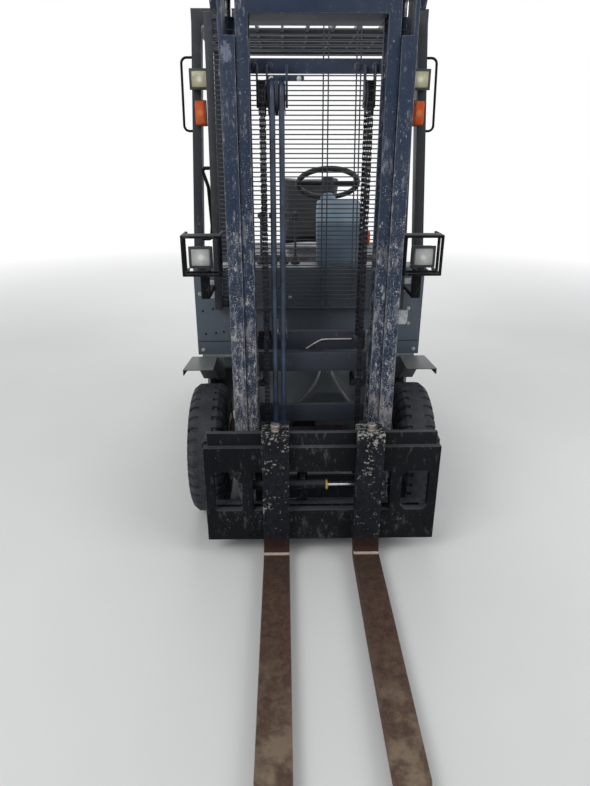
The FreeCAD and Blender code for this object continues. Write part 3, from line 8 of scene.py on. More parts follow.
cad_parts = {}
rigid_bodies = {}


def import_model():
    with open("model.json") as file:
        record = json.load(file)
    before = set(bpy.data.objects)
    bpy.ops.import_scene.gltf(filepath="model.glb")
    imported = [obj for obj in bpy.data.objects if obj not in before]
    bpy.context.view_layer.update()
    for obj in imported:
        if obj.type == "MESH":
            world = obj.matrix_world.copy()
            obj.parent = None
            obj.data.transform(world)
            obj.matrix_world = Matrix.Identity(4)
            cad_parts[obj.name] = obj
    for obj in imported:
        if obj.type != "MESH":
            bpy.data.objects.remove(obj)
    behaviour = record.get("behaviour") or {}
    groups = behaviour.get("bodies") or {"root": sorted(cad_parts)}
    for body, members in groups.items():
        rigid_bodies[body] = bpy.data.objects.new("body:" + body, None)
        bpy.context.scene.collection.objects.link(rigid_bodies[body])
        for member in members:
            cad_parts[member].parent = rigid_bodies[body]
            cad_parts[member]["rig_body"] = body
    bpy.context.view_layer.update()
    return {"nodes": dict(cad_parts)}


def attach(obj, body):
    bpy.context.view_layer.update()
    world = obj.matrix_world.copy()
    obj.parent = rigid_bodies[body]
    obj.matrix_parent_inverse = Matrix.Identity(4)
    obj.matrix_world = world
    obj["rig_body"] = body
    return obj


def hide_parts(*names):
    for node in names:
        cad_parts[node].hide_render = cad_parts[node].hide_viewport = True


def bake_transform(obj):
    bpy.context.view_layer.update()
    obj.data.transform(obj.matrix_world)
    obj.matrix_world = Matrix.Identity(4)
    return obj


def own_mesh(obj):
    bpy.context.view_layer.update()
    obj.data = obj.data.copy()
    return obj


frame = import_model()

# The view, the floor and the light
# The photographer stood ahead of the forks and looked down at the mast from head height.
# The floor is pale and plain, and three soft lamps light the truck about evenly.

camera_data = bpy.data.cameras.new("camera")
camera_data.sensor_width = 36.0
camera_data.lens = 27.0
camera = bpy.data.objects.new("camera", camera_data)
camera.location = (-0.121, -2.775, 1.67)
camera.rotation_euler = (math.radians(67.3), 0.0, math.radians(-1.075))
bpy.context.scene.collection.objects.link(camera)
bpy.context.scene.camera = camera
bpy.context.scene.view_settings.view_transform = "Standard"


def linear(written):
    """The linear colour of an sRGB hex value."""
    parts = [int(written[place:place + 2], 16) / 255 for place in (0, 2, 4)]
    return [part / 12.92 if part <= 0.04045 else ((part + 0.055) / 1.055) ** 2.4 for part in parts] + [1.0]


def give(node, inputs):
    """Give a node's inputs, by name or in their order, a value or a link. A node stands for its first output."""
    if isinstance(inputs, dict):
        pairs = [(node.inputs[name], value) for name, value in inputs.items()]
    else:
        pairs = zip([socket for socket in node.inputs if socket.enabled], inputs)
    for socket, value in pairs:
        if isinstance(value, bpy.types.Node):
            value = next(output for output in value.outputs if output.enabled)
        if isinstance(value, bpy.types.NodeSocket):
            node.id_data.links.new(value, socket)
        else:
            socket.default_value = value


def add(tree, kind, inputs=(), **settings):
    """Add a node with its settings and its inputs."""
    node = tree.nodes.new("ShaderNode" + kind)
    for name, value in settings.items():
        setattr(node, name, value)
    give(node, inputs)
    return node


def surface(name):
    """A new material with its node tree and its shader."""
    material = bpy.data.materials.new(name)
    material.use_nodes = True
    return material, material.node_tree, material.node_tree.nodes["Principled BSDF"]


def seen_share(tree):
    """1 for what the camera sees, also in reflections and through glass, and 0 for what only gives light."""
    path = add(tree, "LightPath").outputs
    seen = add(tree, "Math", (path["Is Camera Ray"], path["Is Glossy Ray"]), operation="MAXIMUM")
    return add(tree, "Math", (seen, path["Is Transmission Ray"]), operation="MAXIMUM")


# Painted concrete: pale, matt, with faint clouds a metre or so across, white further off.
floor_finish, tree, shader = surface("pale_painted_concrete")
spot = add(tree, "TexCoord").outputs["Object"]
clouds = add(tree, "TexNoise", {"Vector": spot, "Scale": 0.9, "Detail": 4.0})
give(shader, {"Base Color": add(tree, "Mix", (clouds, linear("d9d9d6"), linear("e6e6e3")), data_type="RGBA"),
              "Roughness": 0.75})
reach = add(tree, "VectorMath", {0: spot}, operation="LENGTH")
white = add(tree, "Emission", {"Color": (1, 1, 1, 1), "Strength": 1.0})
far = add(tree, "Math", (add(tree, "MapRange", (reach, 3.5, 8.0)), seen_share(tree)), operation="MULTIPLY")
give(tree.nodes["Material Output"], {"Surface": add(tree, "MixShader", (far, shader, white))})
bpy.ops.object.select_all(action="DESELECT")
bpy.ops.mesh.primitive_plane_add(size=60.0)
ground = bpy.context.object
ground.name = "ground"
ground.data.materials.append(floor_finish)

world = bpy.data.worlds.new("studio")
bpy.context.scene.world = world
world.use_nodes = True
tree = world.node_tree
dim = add(tree, "Background", {"Color": linear("dfe3ea"), "Strength": 0.55})
bright = add(tree, "Background", {"Color": (1, 1, 1, 1), "Strength": 1.0})
give(tree.nodes["World Output"], {"Surface": add(tree, "MixShader", (seen_share(tree), dim, bright))})

# Lamp: place, point that it faces, width, power in watts
for place, target, width, power in (
        ((-3.2, -4.2, 4.6), (0.0, -0.2, 1.0), 3.0, 150),
        ((3.8, -2.6, 3.4), (0.0, 0.2, 1.0), 3.0, 75),
        ((0.0, 4.6, 4.4), (0.0, 0.8, 1.0), 3.6, 130)):
    lamp_data = bpy.data.lights.new("soft_lamp", "AREA")
    lamp_data.size = width
    lamp_data.energy = power
    lamp = bpy.data.objects.new("soft_lamp", lamp_data)
    lamp.location = place
    lamp.rotation_euler = (Vector(target) - Vector(place)).to_track_quat("-Z", "Y").to_euler()
    bpy.context.scene.collection.objects.link(lamp)

# Outer mast
# Two rolled steel channels welded to three cross ties, on bosses that turn on the drive axle.
# Navy enamel is sprayed over primer, and it is chipped most where loads brush past, below waist height.


def enamel(name, paint, worn, wear=0.5, low=0.0, high=0.0, gloss=0.42, rust="6a4438", seed=0.0, edge=0.005,
           dust="7d7c78", dusted=0.0, sides=0.2, rusted=0.45, shine=0.25, calm=0.0):
    """Sprayed enamel over primer on steel. wear is from 0, new, to 1, and adds below the height high down to low.
    dusted is how much dust lies on faces that look up, sides its share of that on upright ones, and rusted how
    much of the rust colour is in the bare chips. Nearer to the centre line than calm, the paint is less worn."""
    material, tree, shader = surface(name)
    place = add(tree, "TexCoord").outputs["Object"]
    spot = add(tree, "Mapping", {"Vector": place, "Location": (seed, seed, seed)})
    # Handling dust lies in clouds about 250 mm across, and knocks come in groups about 80 mm across.
    clouds = add(tree, "TexNoise", {"Vector": spot, "Scale": 4.0, "Detail": 5.0, "Roughness": 0.6})
    groups = add(tree, "TexNoise", {"Vector": spot, "Scale": 12.0, "Detail": 2.0})
    # Chips are 3 to 12 mm across with ragged rims, drawn out a little up and down, and flecks are 1 to 4 mm.
    torn = add(tree, "Mapping", {"Vector": spot, "Scale": (1.0, 1.0, 0.45)})
    grit = add(tree, "TexNoise", {"Vector": torn, "Scale": 80.0, "Detail": 9.0, "Roughness": 0.72})
    fleck = add(tree, "TexNoise", {"Vector": spot, "Scale": 190.0, "Detail": 3.0, "Roughness": 0.6})
    # Rubbed patches are about 15 mm wide and 50 mm tall, with soft rims.
    drawn = add(tree, "Mapping", {"Vector": spot, "Scale": (1.0, 1.0, 0.3)})
    scuff = add(tree, "TexNoise", {"Vector": drawn, "Scale": 52.0, "Detail": 6.0, "Roughness": 0.62})
    rounded = add(tree, "Bevel", {"Radius": edge}, samples=4)
    flat = add(tree, "NewGeometry").outputs["Normal"]
    match = add(tree, "VectorMath", (rounded, flat), operation="DOT_PRODUCT")
    rim = add(tree, "MapRange", (match, 0.995, 0.80))
    # push is how readily the paint goes here, and a pattern shows where it and push pass the bar.
    drift = add(tree, "Math", (add(tree, "Math", (clouds, groups)), -1.0))
    drift = add(tree, "Math", (drift, 0.20), operation="MULTIPLY")
    push = add(tree, "Math", (rim, 0.05 + 0.13 * wear), operation="MULTIPLY")
    push = add(tree, "Math", (push, drift))
    parts = add(tree, "SeparateXYZ", {"Vector": place}).outputs
    lowness = add(tree, "MapRange", (parts[2], high, low)) if high > low else 0.0
    if calm:
        off_centre = add(tree, "Math", {0: parts[0]}, operation="ABSOLUTE")
        reached = add(tree, "MapRange", (off_centre, calm - 0.003, calm))
        lowness = add(tree, "Math", (lowness, reached), operation="MULTIPLY")
        less = add(tree, "Math", (add(tree, "Math", (reached, -1.0)), 0.05), operation="MULTIPLY")
        push = add(tree, "Math", (push, less))
    lowness = add(tree, "Math", (lowness, 0.10 * wear), operation="MULTIPLY")
    push = add(tree, "Math", (push, lowness))
    bar = 0.705 - 0.06 * wear
    gritty = add(tree, "Math", (grit, push))
    chips = add(tree, "MapRange", (gritty, bar, bar + 0.012))
    halo = add(tree, "MapRange", (gritty, bar - 0.03, bar))
    dots = add(tree, "MapRange", (add(tree, "Math", (fleck, push)), bar + 0.025, bar + 0.04))
    scrape = add(tree, "MapRange", (add(tree, "Math", (scuff, push)), 0.57, 0.70))
    paint, worn, rust, dust = linear(paint), linear(worn), linear(rust), linear(dust)
    grime = add(tree, "Mix", (add(tree, "MapRange", (groups, 0.4, 0.6, 0.0, rusted)), worn, rust), data_type="RGBA")
    bare = add(tree, "Mix", (add(tree, "MapRange", (clouds, 0.45, 0.65, 0.0, rusted)), worn, rust), data_type="RGBA")
    upward = add(tree, "SeparateXYZ", {"Vector": flat}).outputs[2]
    settled = add(tree, "MapRange", (upward, 0.2, 0.9, sides * dusted, dusted))
    thick = add(tree, "MapRange", (clouds, 0.25, 0.7, 0.5, 1.0))
    # From the paint up: fading, thin pale rims along every edge, which are edge wear and also a painted highlight on
    # the rounded edges, rubbed patches, stained rings, bare chips and flecks, and dust.
    tone = paint
    for share, over in (
            (add(tree, "MapRange", (clouds, 0.35, 0.75, 0.0, 0.05 * wear)), worn),
            # Pale rims on every edge: a painted highlight as well as edge wear.
            (add(tree, "Math", (rim, 0.22), operation="MULTIPLY"), worn),
            (add(tree, "Math", (scrape, 0.5 * wear), operation="MULTIPLY"), grime),
            (add(tree, "Math", (halo, 0.35 * wear), operation="MULTIPLY"), rust),
            (add(tree, "Math", (chips, dots), operation="MAXIMUM"), bare),
            (add(tree, "Math", (settled, thick), operation="MULTIPLY"), dust)):
        tone = add(tree, "Mix", (share, tone, over), data_type="RGBA")
    peel = add(tree, "TexNoise", {"Vector": spot, "Scale": 420.0, "Detail": 2.0})
    relief = add(tree, "Math", (add(tree, "Math", (peel, 0.12), operation="MULTIPLY"),
                                add(tree, "Math", (chips, -0.6), operation="MULTIPLY")))
    give(shader, {
        "Base Color": tone, "Specular IOR Level": shine,
        "Roughness": add(tree, "MapRange", (add(tree, "Math", (chips, clouds)), 0.2, 1.5, gloss, 0.85)),
        "Normal": add(tree, "Bump", {"Strength": 0.35, "Distance": 0.0008, "Height": relief, "Normal": rounded})})
    return material


def start(kind, **settings):
    """Add one primitive with nothing else selected."""
    bpy.ops.object.select_all(action="DESELECT")
    getattr(bpy.ops.mesh, f"primitive_{kind}_add")(**settings)
    return bpy.context.object


def alone(piece):
    """Select one piece and nothing else."""
    bpy.ops.object.select_all(action="DESELECT")
    piece.select_set(True)
    bpy.context.view_layer.objects.active = piece
    return piece


def baked(piece):
    """Set a piece's place, turn and size into its mesh."""
    alone(piece)
    bpy.ops.object.transform_apply(location=True, rotation=True, scale=True)
    return piece


def applied(piece, kind, **settings):
    """Finish a piece with a modifier and apply it."""
    alone(piece)
    modifier = piece.modifiers.new(kind.lower(), kind)
    for name, value in settings.items():
        setattr(modifier, name, value)
    bpy.ops.object.modifier_apply(modifier=modifier.name)
    return piece


def bevelled(piece, width, segments=2, angle=30):
    """Round every edge that is sharper than an angle."""
    return applied(piece, "BEVEL", width=width, segments=segments, limit_method="ANGLE",
                   angle_limit=math.radians(angle))


def pick(piece, test):
    """Open a piece in edit mode with only the faces selected whose middle and normal pass a test."""
    alone(piece)
    bpy.ops.object.mode_set(mode="EDIT")
    bpy.ops.mesh.select_mode(type="FACE")
    bpy.ops.mesh.select_all(action="DESELECT")
    mesh = bmesh.from_edit_mesh(piece.data)
    for face in mesh.faces:
        face.select_set(test(face.calc_center_median(), face.normal))
    bmesh.update_edit_mesh(piece.data)


def close_edit():
    bpy.ops.object.mode_set(mode="OBJECT")


def settle(piece, name, finish, body, angle=35):
    """Name a finished piece, give it its finish and let it ride on its body."""
    baked(piece)
    bpy.ops.object.shade_smooth_by_angle(angle=math.radians(angle))
    piece.name = name
    piece.data.name = name
    piece.data.materials.clear()
    piece.data.materials.append(finish)
    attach(piece, body)
    return piece


def joined(pieces):
    """Several pieces as one object."""
    alone(pieces[0])
    for piece in pieces:
        piece.select_set(True)
    bpy.ops.object.join()
    return bpy.context.object


def copies(piece, places):
    """Copies of a piece at each place, a matrix or a point, joined into one mesh. The first piece goes."""
    baked(piece)
    made = []
    for place in places:
        twin = piece.copy()
        twin.data = piece.data.copy()
        twin.data.transform(place if isinstance(place, Matrix) else Matrix.Translation(place))
        bpy.context.scene.collection.objects.link(twin)
        made.append(twin)
    bpy.data.objects.remove(piece)
    return joined(made)


def eased(node, name, finish, width=0.0015, segments=2, angle=30):
    """A copy of a CAD solid with its sharp corners eased, as rolling, grinding and paint leave them."""
    source = frame["nodes"][node]
    piece = source.copy()
    piece.data = source.data.copy()
    piece.parent = None
    for key in list(piece.keys()):
        del piece[key]
    bpy.context.scene.collection.objects.link(piece)
    alone(piece)
    bpy.ops.mesh.customdata_custom_splitnormals_clear()
    bpy.ops.object.mode_set(mode="EDIT")
    bpy.ops.mesh.select_all(action="SELECT")
    bpy.ops.mesh.remove_doubles(threshold=0.00002)
    bpy.ops.mesh.dissolve_limited(angle_limit=math.radians(0.6))
    close_edit()
    bevelled(piece, width, segments, angle)
    settle(piece, name, finish, source["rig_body"])
    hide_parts(node)


navy = enamel("navy_enamel_on_steel", "11243d", "abaeb2", wear=1.0, low=0.5, high=1.9, edge=0.004, dusted=0.6,
              sides=0.08, dust="8a8a86", rust="6e625e", rusted=0.6, shine=0.2, calm=0.233)
tree = navy.node_tree
shader = tree.nodes["Principled BSDF"]
painted = shader.inputs["Base Color"].links[0].from_socket
place = add(tree, "TexCoord").outputs["Object"]
# A patch of the left ear, about 40 mm wide and 60 mm tall, is worn down to lilac grey primer.
PATCH_MIDDLE = (-0.309, 0.0, 1.962)
away = add(tree, "VectorMath", (place, PATCH_MIDDLE), operation="SUBTRACT")
away = add(tree, "VectorMath", (away, (50.0, 0.0, 34.0)), operation="MULTIPLY")
away = add(tree, "VectorMath", {0: away}, operation="LENGTH")
torn = add(tree, "TexNoise", {"Vector": place, "Scale": 60.0, "Detail": 6.0, "Roughness": 0.7})
torn = add(tree, "Math", (torn, 3.6), operation="MULTIPLY")
bared = add(tree, "MapRange", (add(tree, "Math", (away, torn)), 2.85, 2.55, 0.0, 0.6))
painted = add(tree, "Mix", (bared, painted, linear("7c8095")), data_type="RGBA")
# The low ties, between the channels, stay in the grease mist off the chains, so they have gone grey.
parts = add(tree, "SeparateXYZ", {"Vector": place}).outputs
between = add(tree, "MapRange", (add(tree, "Math", {0: parts[0]}, operation="ABSOLUTE"), 0.235, 0.230))
misted = add(tree, "MapRange", (parts[2], 1.4, 0.9, 0.0, 0.65))
misted = add(tree, "Math", (between, misted), operation="MULTIPLY")
give(shader, {"Base Color": add(tree, "Mix", (misted, painted, linear("34363a")), data_type="RGBA")})
eased("outer_mast_frame", "outer_mast_weldment", navy, width=0.002)

# Inner mast
# Two rolled I beams that run on rollers in the outer channels, tied at the back, in the same navy enamel.
# Its head bridge is lifted by the two rods, and hex bolts hold the hose brackets to its upper tie.

eased("inner_mast_frame", "inner_mast_weldment", navy, width=0.002)


def bright_steel(name, tone, rough, seed=0.0, grain=(1.0, 1.0, 1.0), stain="3a2e26", stained=0.35):
    """Bare machined or rubbed steel, with dark stains. grain stretches the marks along an axis."""
    material, tree, shader = surface(name)
    place = add(tree, "TexCoord").outputs["Object"]
    spot = add(tree, "Mapping", {"Vector": place, "Location": (seed, 0, seed), "Scale": grain})
    # Stains are 10 to 40 mm across, and the fine marks under 1 mm wide.
    stains = add(tree, "TexNoise", {"Vector": spot, "Scale": 35.0, "Detail": 6.0, "Roughness": 0.65})
    marks = add(tree, "TexNoise", {"Vector": spot, "Scale": 900.0, "Detail": 2.0})
    share = add(tree, "MapRange", (stains, 0.48, 0.68, 0.0, stained))
    dull = add(tree, "MapRange", (add(tree, "Math", (stains, marks)), 0.7, 1.3, rough, min(1.0, rough + 0.3)))
    give(shader, {
        "Base Color": add(tree, "Mix", (share, linear(tone), linear(stain)), data_type="RGBA"),
        "Roughness": dull, "Metallic": 1.0,
        "Normal": add(tree, "Bump", {"Strength": 0.3, "Distance": 0.0003, "Height": marks})})
    return material


zinc = bright_steel("zinc_plated_fasteners", "a9a9a4", 0.35, stained=0.55)
ACROSS = (0, math.pi / 2, 0)
FORE_AND_AFT = (math.pi / 2, 0, 0)


def hex_head(across=0.019, tall=0.0075, washer=0.014):
    """A hexagon bolt head on its washer, looking along -Y from its seat at the origin."""
    thick = 0.0018
    head = start("cylinder", vertices=6, radius=across / 2 / math.cos(math.pi / 6), depth=tall,
                 location=(0, -thick - tall / 2, 0), rotation=FORE_AND_AFT)
    bevelled(head, 0.0012)
    ring = start("cylinder", vertices=20, radius=washer, depth=thick, location=(0, -thick / 2, 0),
                 rotation=FORE_AND_AFT)
    return joined([head, ring])


bolts = copies(hex_head(), [(x, -0.37, 1.936) for x in (-0.223, -0.168, 0.150, 0.215)])
settle(bolts, "upper_tie_bolts", navy, "inner_mast")
strap = start("cube", size=1.0, location=(-0.112, -0.386, 1.903), scale=(0.136, 0.032, 0.005))
lip = start("cube", size=1.0, location=(-0.112, -0.4015, 1.895), scale=(0.136, 0.004, 0.020))
settle(bevelled(joined([strap, lip]), 0.001), "hose_bracket", navy, "inner_mast")
settle(copies(hex_head(0.013, 0.005, 0.009), [(x, -0.4035, 1.893) for x in (-0.062, -0.162)]),
       "hose_bracket_bolts", zinc, "inner_mast")

# Bearer pipe
# A bent steel tube, 9 mm across, that carries oil along the front of the middle cross tie of the outer mast.


def bent_line(name, route, radius):
    """A round line through the air along a route, as a curve."""
    curve = bpy.data.curves.new(name, "CURVE")
    curve.dimensions = "3D"
    curve.bevel_depth = radius
    spline = curve.splines.new("NURBS")
    spline.points.add(len(route) - 1)
    for point, place in zip(spline.points, route):
        point.co = (*place, 1.0)
    spline.order_u = 3
    spline.use_endpoint_u = True
    line = bpy.data.objects.new(name, curve)
    bpy.context.scene.collection.objects.link(line)
    return line


PIPE_Y = -0.3095
alone(bent_line("tie_pipe", [(-0.026, PIPE_Y, 0.850), (0.030, PIPE_Y, 0.889), (0.060, PIPE_Y, 0.8935),
                             (0.172, PIPE_Y, 0.8935)], 0.0045))
bpy.ops.object.convert(target="MESH")
pipe_steel = bright_steel("galvanised_pipe", "a3a39c", 0.45, stained=0.4, seed=8.0)
settle(bpy.context.object, "tie_oil_pipe", pipe_steel, "outer_mast")

# Lift cylinders
# A single-acting ram behind each mast rail: a painted tube with a gland nut, and a hard chromed rod.

eased("lift_barrels", "lift_cylinder_tubes", navy)
chrome = bright_steel("hard_chromed_rod", "c9cacc", 0.12, grain=(1.0, 1.0, 0.2), stained=0.15)
eased("lift_rods", "lift_cylinder_rods", chrome, width=0.001)

# Chains
# Leaf chain of pressed plates, riveted on pins 19 mm apart and always wet with oil. It runs up from the
# carriage, over a cast sheave in the inner mast and down to the outer mast.

cast = enamel("painted_castings", "1d222c", "6d6f72", wear=0.6, gloss=0.55, seed=2.0, edge=0.003, dusted=0.3)
eased("mast_pulleys", "cast_sheaves", cast, width=0.0008)

oiled = bright_steel("oiled_chain_plates", "35363b", 0.36, stain="0f0f12", stained=0.8, seed=1.0)
PITCH = 0.01905
PLATE_TALL = 0.0128
PLATE_STEP = 0.0031
PLATES_ACROSS = 7
CHAIN_X = 0.1955
CHAIN_LOW = {"front": 0.270, "rear": 0.911}
CHAIN_TURN = 0.050
LINKS_ROUND = 8
SHEAVE_Y = -0.375
SHEAVE_Z = 1.835


def leaf_plate():
    """One chain plate with round ends, from its lower pin at the origin up to the next pin."""
    plate = start("cylinder", vertices=10, radius=PLATE_TALL / 2, depth=0.0024,
                  rotation=(math.pi / 2, 0, math.pi / 2))
    baked(plate)
    pick(plate, lambda point, normal: point.z > 0.001)
    bpy.ops.transform.translate(value=(0, 0, PITCH))
    close_edit()
    return plate


def chain(count, place):
    """A length of chain with its rivets. place gives the matrix of each link's lower pin, and every other
    plate across is a pitch further on."""
    plates = [place(link) @ Matrix.Translation(((across - 3) * PLATE_STEP, 0, 0))
              for link in range(count) for across in range(PLATES_ACROSS) if (across + link) % 2 == 0]
    rivet = start("cylinder", vertices=8, radius=0.0034, depth=0.0228, rotation=ACROSS)
    return joined([copies(leaf_plate(), plates), copies(rivet, [place(link) for link in range(count + 1)])])


for name, y in (("front", SHEAVE_Y - CHAIN_TURN), ("rear", SHEAVE_Y + CHAIN_TURN)):
    tall = SHEAVE_Z - CHAIN_LOW[name]
    runs = [chain(int(tall / PITCH), lambda link, x=x: Matrix.Translation((x, y, SHEAVE_Z - (link + 1) * PITCH)))
            for x in (-CHAIN_X, CHAIN_X)]
    run = settle(joined(runs), f"lift_chain_{name}", oiled, "inner_mast", angle=40)
    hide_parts(f"chain_{name}_runs")
    if name == "front":
        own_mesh(run)
rear_chain = run


def round_sheave(link):
    """The place of a link on its way over the sheave, from the front to the back."""
    angle = math.pi * link / LINKS_ROUND
    turn = Matrix.Rotation(-angle - math.pi / 2 / LINKS_ROUND, 4, "X")
    point = (0, SHEAVE_Y - CHAIN_TURN * math.cos(angle), SHEAVE_Z + CHAIN_TURN * math.sin(angle))
    return Matrix.Translation(point) @ turn


over = [chain(LINKS_ROUND, lambda link, x=x: Matrix.Translation((x, 0, 0)) @ round_sheave(link))
        for x in (-CHAIN_X, CHAIN_X)]
wraps = settle(joined(over), "lift_chain_over_sheaves", oiled, "inner_mast", angle=40)
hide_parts("pulley_wraps")

# Hoses
# Two hydraulic hoses for the side-shift, 21 mm across, held between crimped steel ends on the carriage and
# on the outer mast. They run over a double pulley beside the left chain.


def clouded(name, tones, scale, detail, low, high, rough, grain=None):
    """A plain finish of two tones in clouds, the second from low to high. rough is a number, or two that follow
    the clouds. grain is the scale, detail, strength and height of the relief."""
    material, tree, shader = surface(name)
    spot = add(tree, "TexCoord").outputs["Object"]
    clouds = add(tree, "TexNoise", {"Vector": spot, "Scale": scale, "Detail": detail})
    share = add(tree, "MapRange", (clouds, low, high))
    if isinstance(rough, tuple):
        rough = add(tree, "MapRange", (clouds, 0.3, 0.7, *rough))
    give(shader, {"Base Color": add(tree, "Mix", (share, *(linear(tone) for tone in tones)), data_type="RGBA"),
                  "Roughness": rough})
    if grain:
        fine, steps, strength, height = grain
        relief = add(tree, "TexNoise", {"Vector": spot, "Scale": fine, "Detail": steps})
        give(shader, {"Normal": add(tree, "Bump", {"Strength": strength, "Distance": height, "Height": relief})})
    return material


# Dust clouds 60 mm long, and a cloth-marked cover with ribs about 2 mm apart.
rubber = clouded("dusty_hose_rubber", ("131b2a", "324058"), 16.0, 4.0, 0.35, 0.7, 0.42, (500.0, 1.0, 0.2, 0.0004))

HOSE_X = (-0.160, -0.125)
HOSE_TURN = 0.055
HOSE_RAD = 0.0105
PULLEY_Y = -0.385
FRONT_Y = PULLEY_Y - HOSE_TURN
REAR_Y = PULLEY_Y + HOSE_TURN
# The hoses stand on brackets of the carriage and of the outer mast, 1 mm up in their nuts.
CARRIAGE_SEAT = 0.272
OUTER_SEAT = 0.926
IN_NUT = 0.001


def hose_run(y, low):
    """Two straight lengths of hose side by side, up to the pulley."""
    tube = start("cylinder", vertices=20, radius=HOSE_RAD, depth=SHEAVE_Z - low,
                 location=(0, y, (low + SHEAVE_Z) / 2))
    return copies(tube, [(x, 0, 0) for x in HOSE_X])


def ferrules(y, low, tall):
    """The crimped end and hexagon nut of each hose, standing tall on a bracket at a height."""
    sleeve = start("cylinder", vertices=24, radius=HOSE_RAD + 0.0025, depth=tall * 2 / 3,
                   location=(0, y, low + tall * 2 / 3))
    pick(sleeve, lambda point, normal: abs(normal.z) < 0.5)
    bpy.ops.mesh.subdivide(number_cuts=6)
    close_edit()
    nut = start("cylinder", vertices=6, radius=HOSE_RAD + 0.0045, depth=tall * 0.32, location=(0, y, low + tall / 6))
    return bevelled(copies(joined([sleeve, nut]), [(x, 0, 0) for x in HOSE_X]), 0.0012, angle=40)


front_hose = settle(hose_run(FRONT_Y, CARRIAGE_SEAT + IN_NUT), "mast_hoses_front", rubber, "inner_mast")
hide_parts("hose_front_runs")
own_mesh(front_hose)
# The carriage ends are short, because they come up to the pulley's rim when the forks are right up.
settle(ferrules(FRONT_Y, CARRIAGE_SEAT, 0.018), "hose_ends_carriage", zinc, "carriage")
settle(ferrules(REAR_Y, OUTER_SEAT, 0.063), "hose_ends_outer_mast", zinc, "outer_mast")
rear_hose = settle(hose_run(REAR_Y, OUTER_SEAT + IN_NUT), "mast_hoses_rear", rubber, "inner_mast")
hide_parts("hose_rear_runs")
bend = baked(start("torus", major_radius=HOSE_TURN, minor_radius=HOSE_RAD, major_segments=48, minor_segments=20,
                   rotation=ACROSS))
pick(bend, lambda point, normal: point.z < -0.0001)
bpy.ops.mesh.delete(type="FACE")
close_edit()
bends = copies(bend, [(x, PULLEY_Y, SHEAVE_Z) for x in HOSE_X])
settle(bends, "mast_hoses_over_pulley", rubber, "inner_mast")

# The rear runs are taken off the inner mast and stay where they are, because their lower ends stay on the outer
# mast.
for run, low in ((rear_chain, CHAIN_LOW["rear"]), (rear_hose, OUTER_SEAT)):
    alone(run)
    bpy.ops.object.parent_clear(type="CLEAR_KEEP_TRANSFORM")
    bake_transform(run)

# Carriage
# Two flame-cut bars on cheek plates, whose rollers run in the inner mast, in black enamel that loads and
# the side-shift frame have rubbed through to primer.

black = enamel("black_enamel_on_steel", "0c0d11", "98989a", wear=0.35, edge=0.004, seed=3.0, dusted=0.5,
               sides=0.05, dust="666a6e", rust="5f5751", rusted=0.4, gloss=0.5, shine=0.08)
eased("carriage_frame", "carriage_weldment", black, width=0.002)
roller = bright_steel("greased_rollers", "5c5a57", 0.3, stained=0.8, seed=4.0)
eased("carriage_rollers", "mast_rollers", roller)

# Side-shift frame and ram
# A plate with three windows, a stepped strip that the forks hang on and hooks over both carriage bars.
# A short ram moves it: a painted tube, a yellow wiper ring and a chromed rod.

eased("sideshift_frame", "sideshift_weldment", black, width=0.003, segments=3)
eased("sideshift_cylinder", "sideshift_ram_tube", black, width=0.001)
eased("sideshift_rod", "sideshift_ram_rod", chrome, width=0.0008)
# Yellow plastic, smeared with grime in spots about 8 mm across.
yellow = clouded("yellow_wiper_ring", ("c9a53a", "4c3f22"), 120.0, 4.0, 0.45, 0.7, 0.45)
ring = start("cylinder", vertices=32, radius=0.0225, depth=0.010, location=(0.056, -0.582, 0.326), rotation=ACROSS)
settle(bevelled(ring, 0.0015), "ram_wiper_ring", yellow, "carriage")

# Forks
# Forged steel, 110 mm wide and 45 mm thick at the heel, hung on the top strip and tapered to the tip.
# The shanks keep their black paint in patches, and the blades are rust-brown, rubbed along their length.

fork_steel, tree, shader = surface("forged_forks_worn_to_rust")
place = add(tree, "TexCoord").outputs["Object"]
parts = add(tree, "SeparateXYZ", {"Vector": place}).outputs
# Rust mottles 5 to 40 mm across, and rubbed streaks 3 mm wide and 100 mm long.
mottle = add(tree, "TexNoise", {"Vector": place, "Scale": 34.0, "Detail": 9.0, "Roughness": 0.75})
fine = add(tree, "TexNoise", {"Vector": place, "Scale": 130.0, "Detail": 5.0, "Roughness": 0.7})
speck = add(tree, "TexNoise", {"Vector": place, "Scale": 75.0, "Detail": 8.0, "Roughness": 0.75})
groups = add(tree, "TexNoise", {"Vector": place, "Scale": 11.0, "Detail": 2.0})
film = add(tree, "TexNoise", {"Vector": place, "Scale": 13.0, "Detail": 7.0, "Roughness": 0.62})
along = add(tree, "Mapping", {"Vector": place, "Scale": (1.0, 0.06, 0.2)})
streak = add(tree, "TexNoise", {"Vector": along, "Scale": 190.0, "Detail": 4.0, "Roughness": 0.6})
rounded = add(tree, "Bevel", {"Radius": 0.006}, samples=4)
flat = add(tree, "NewGeometry").outputs["Normal"]
rim = add(tree, "MapRange", (add(tree, "VectorMath", (rounded, flat), operation="DOT_PRODUCT"), 0.995, 0.85))
rubbed_rim = add(tree, "Math", (rim, add(tree, "MapRange", (fine, 0.35, 0.6, 0.2, 0.9))), operation="MULTIPLY")
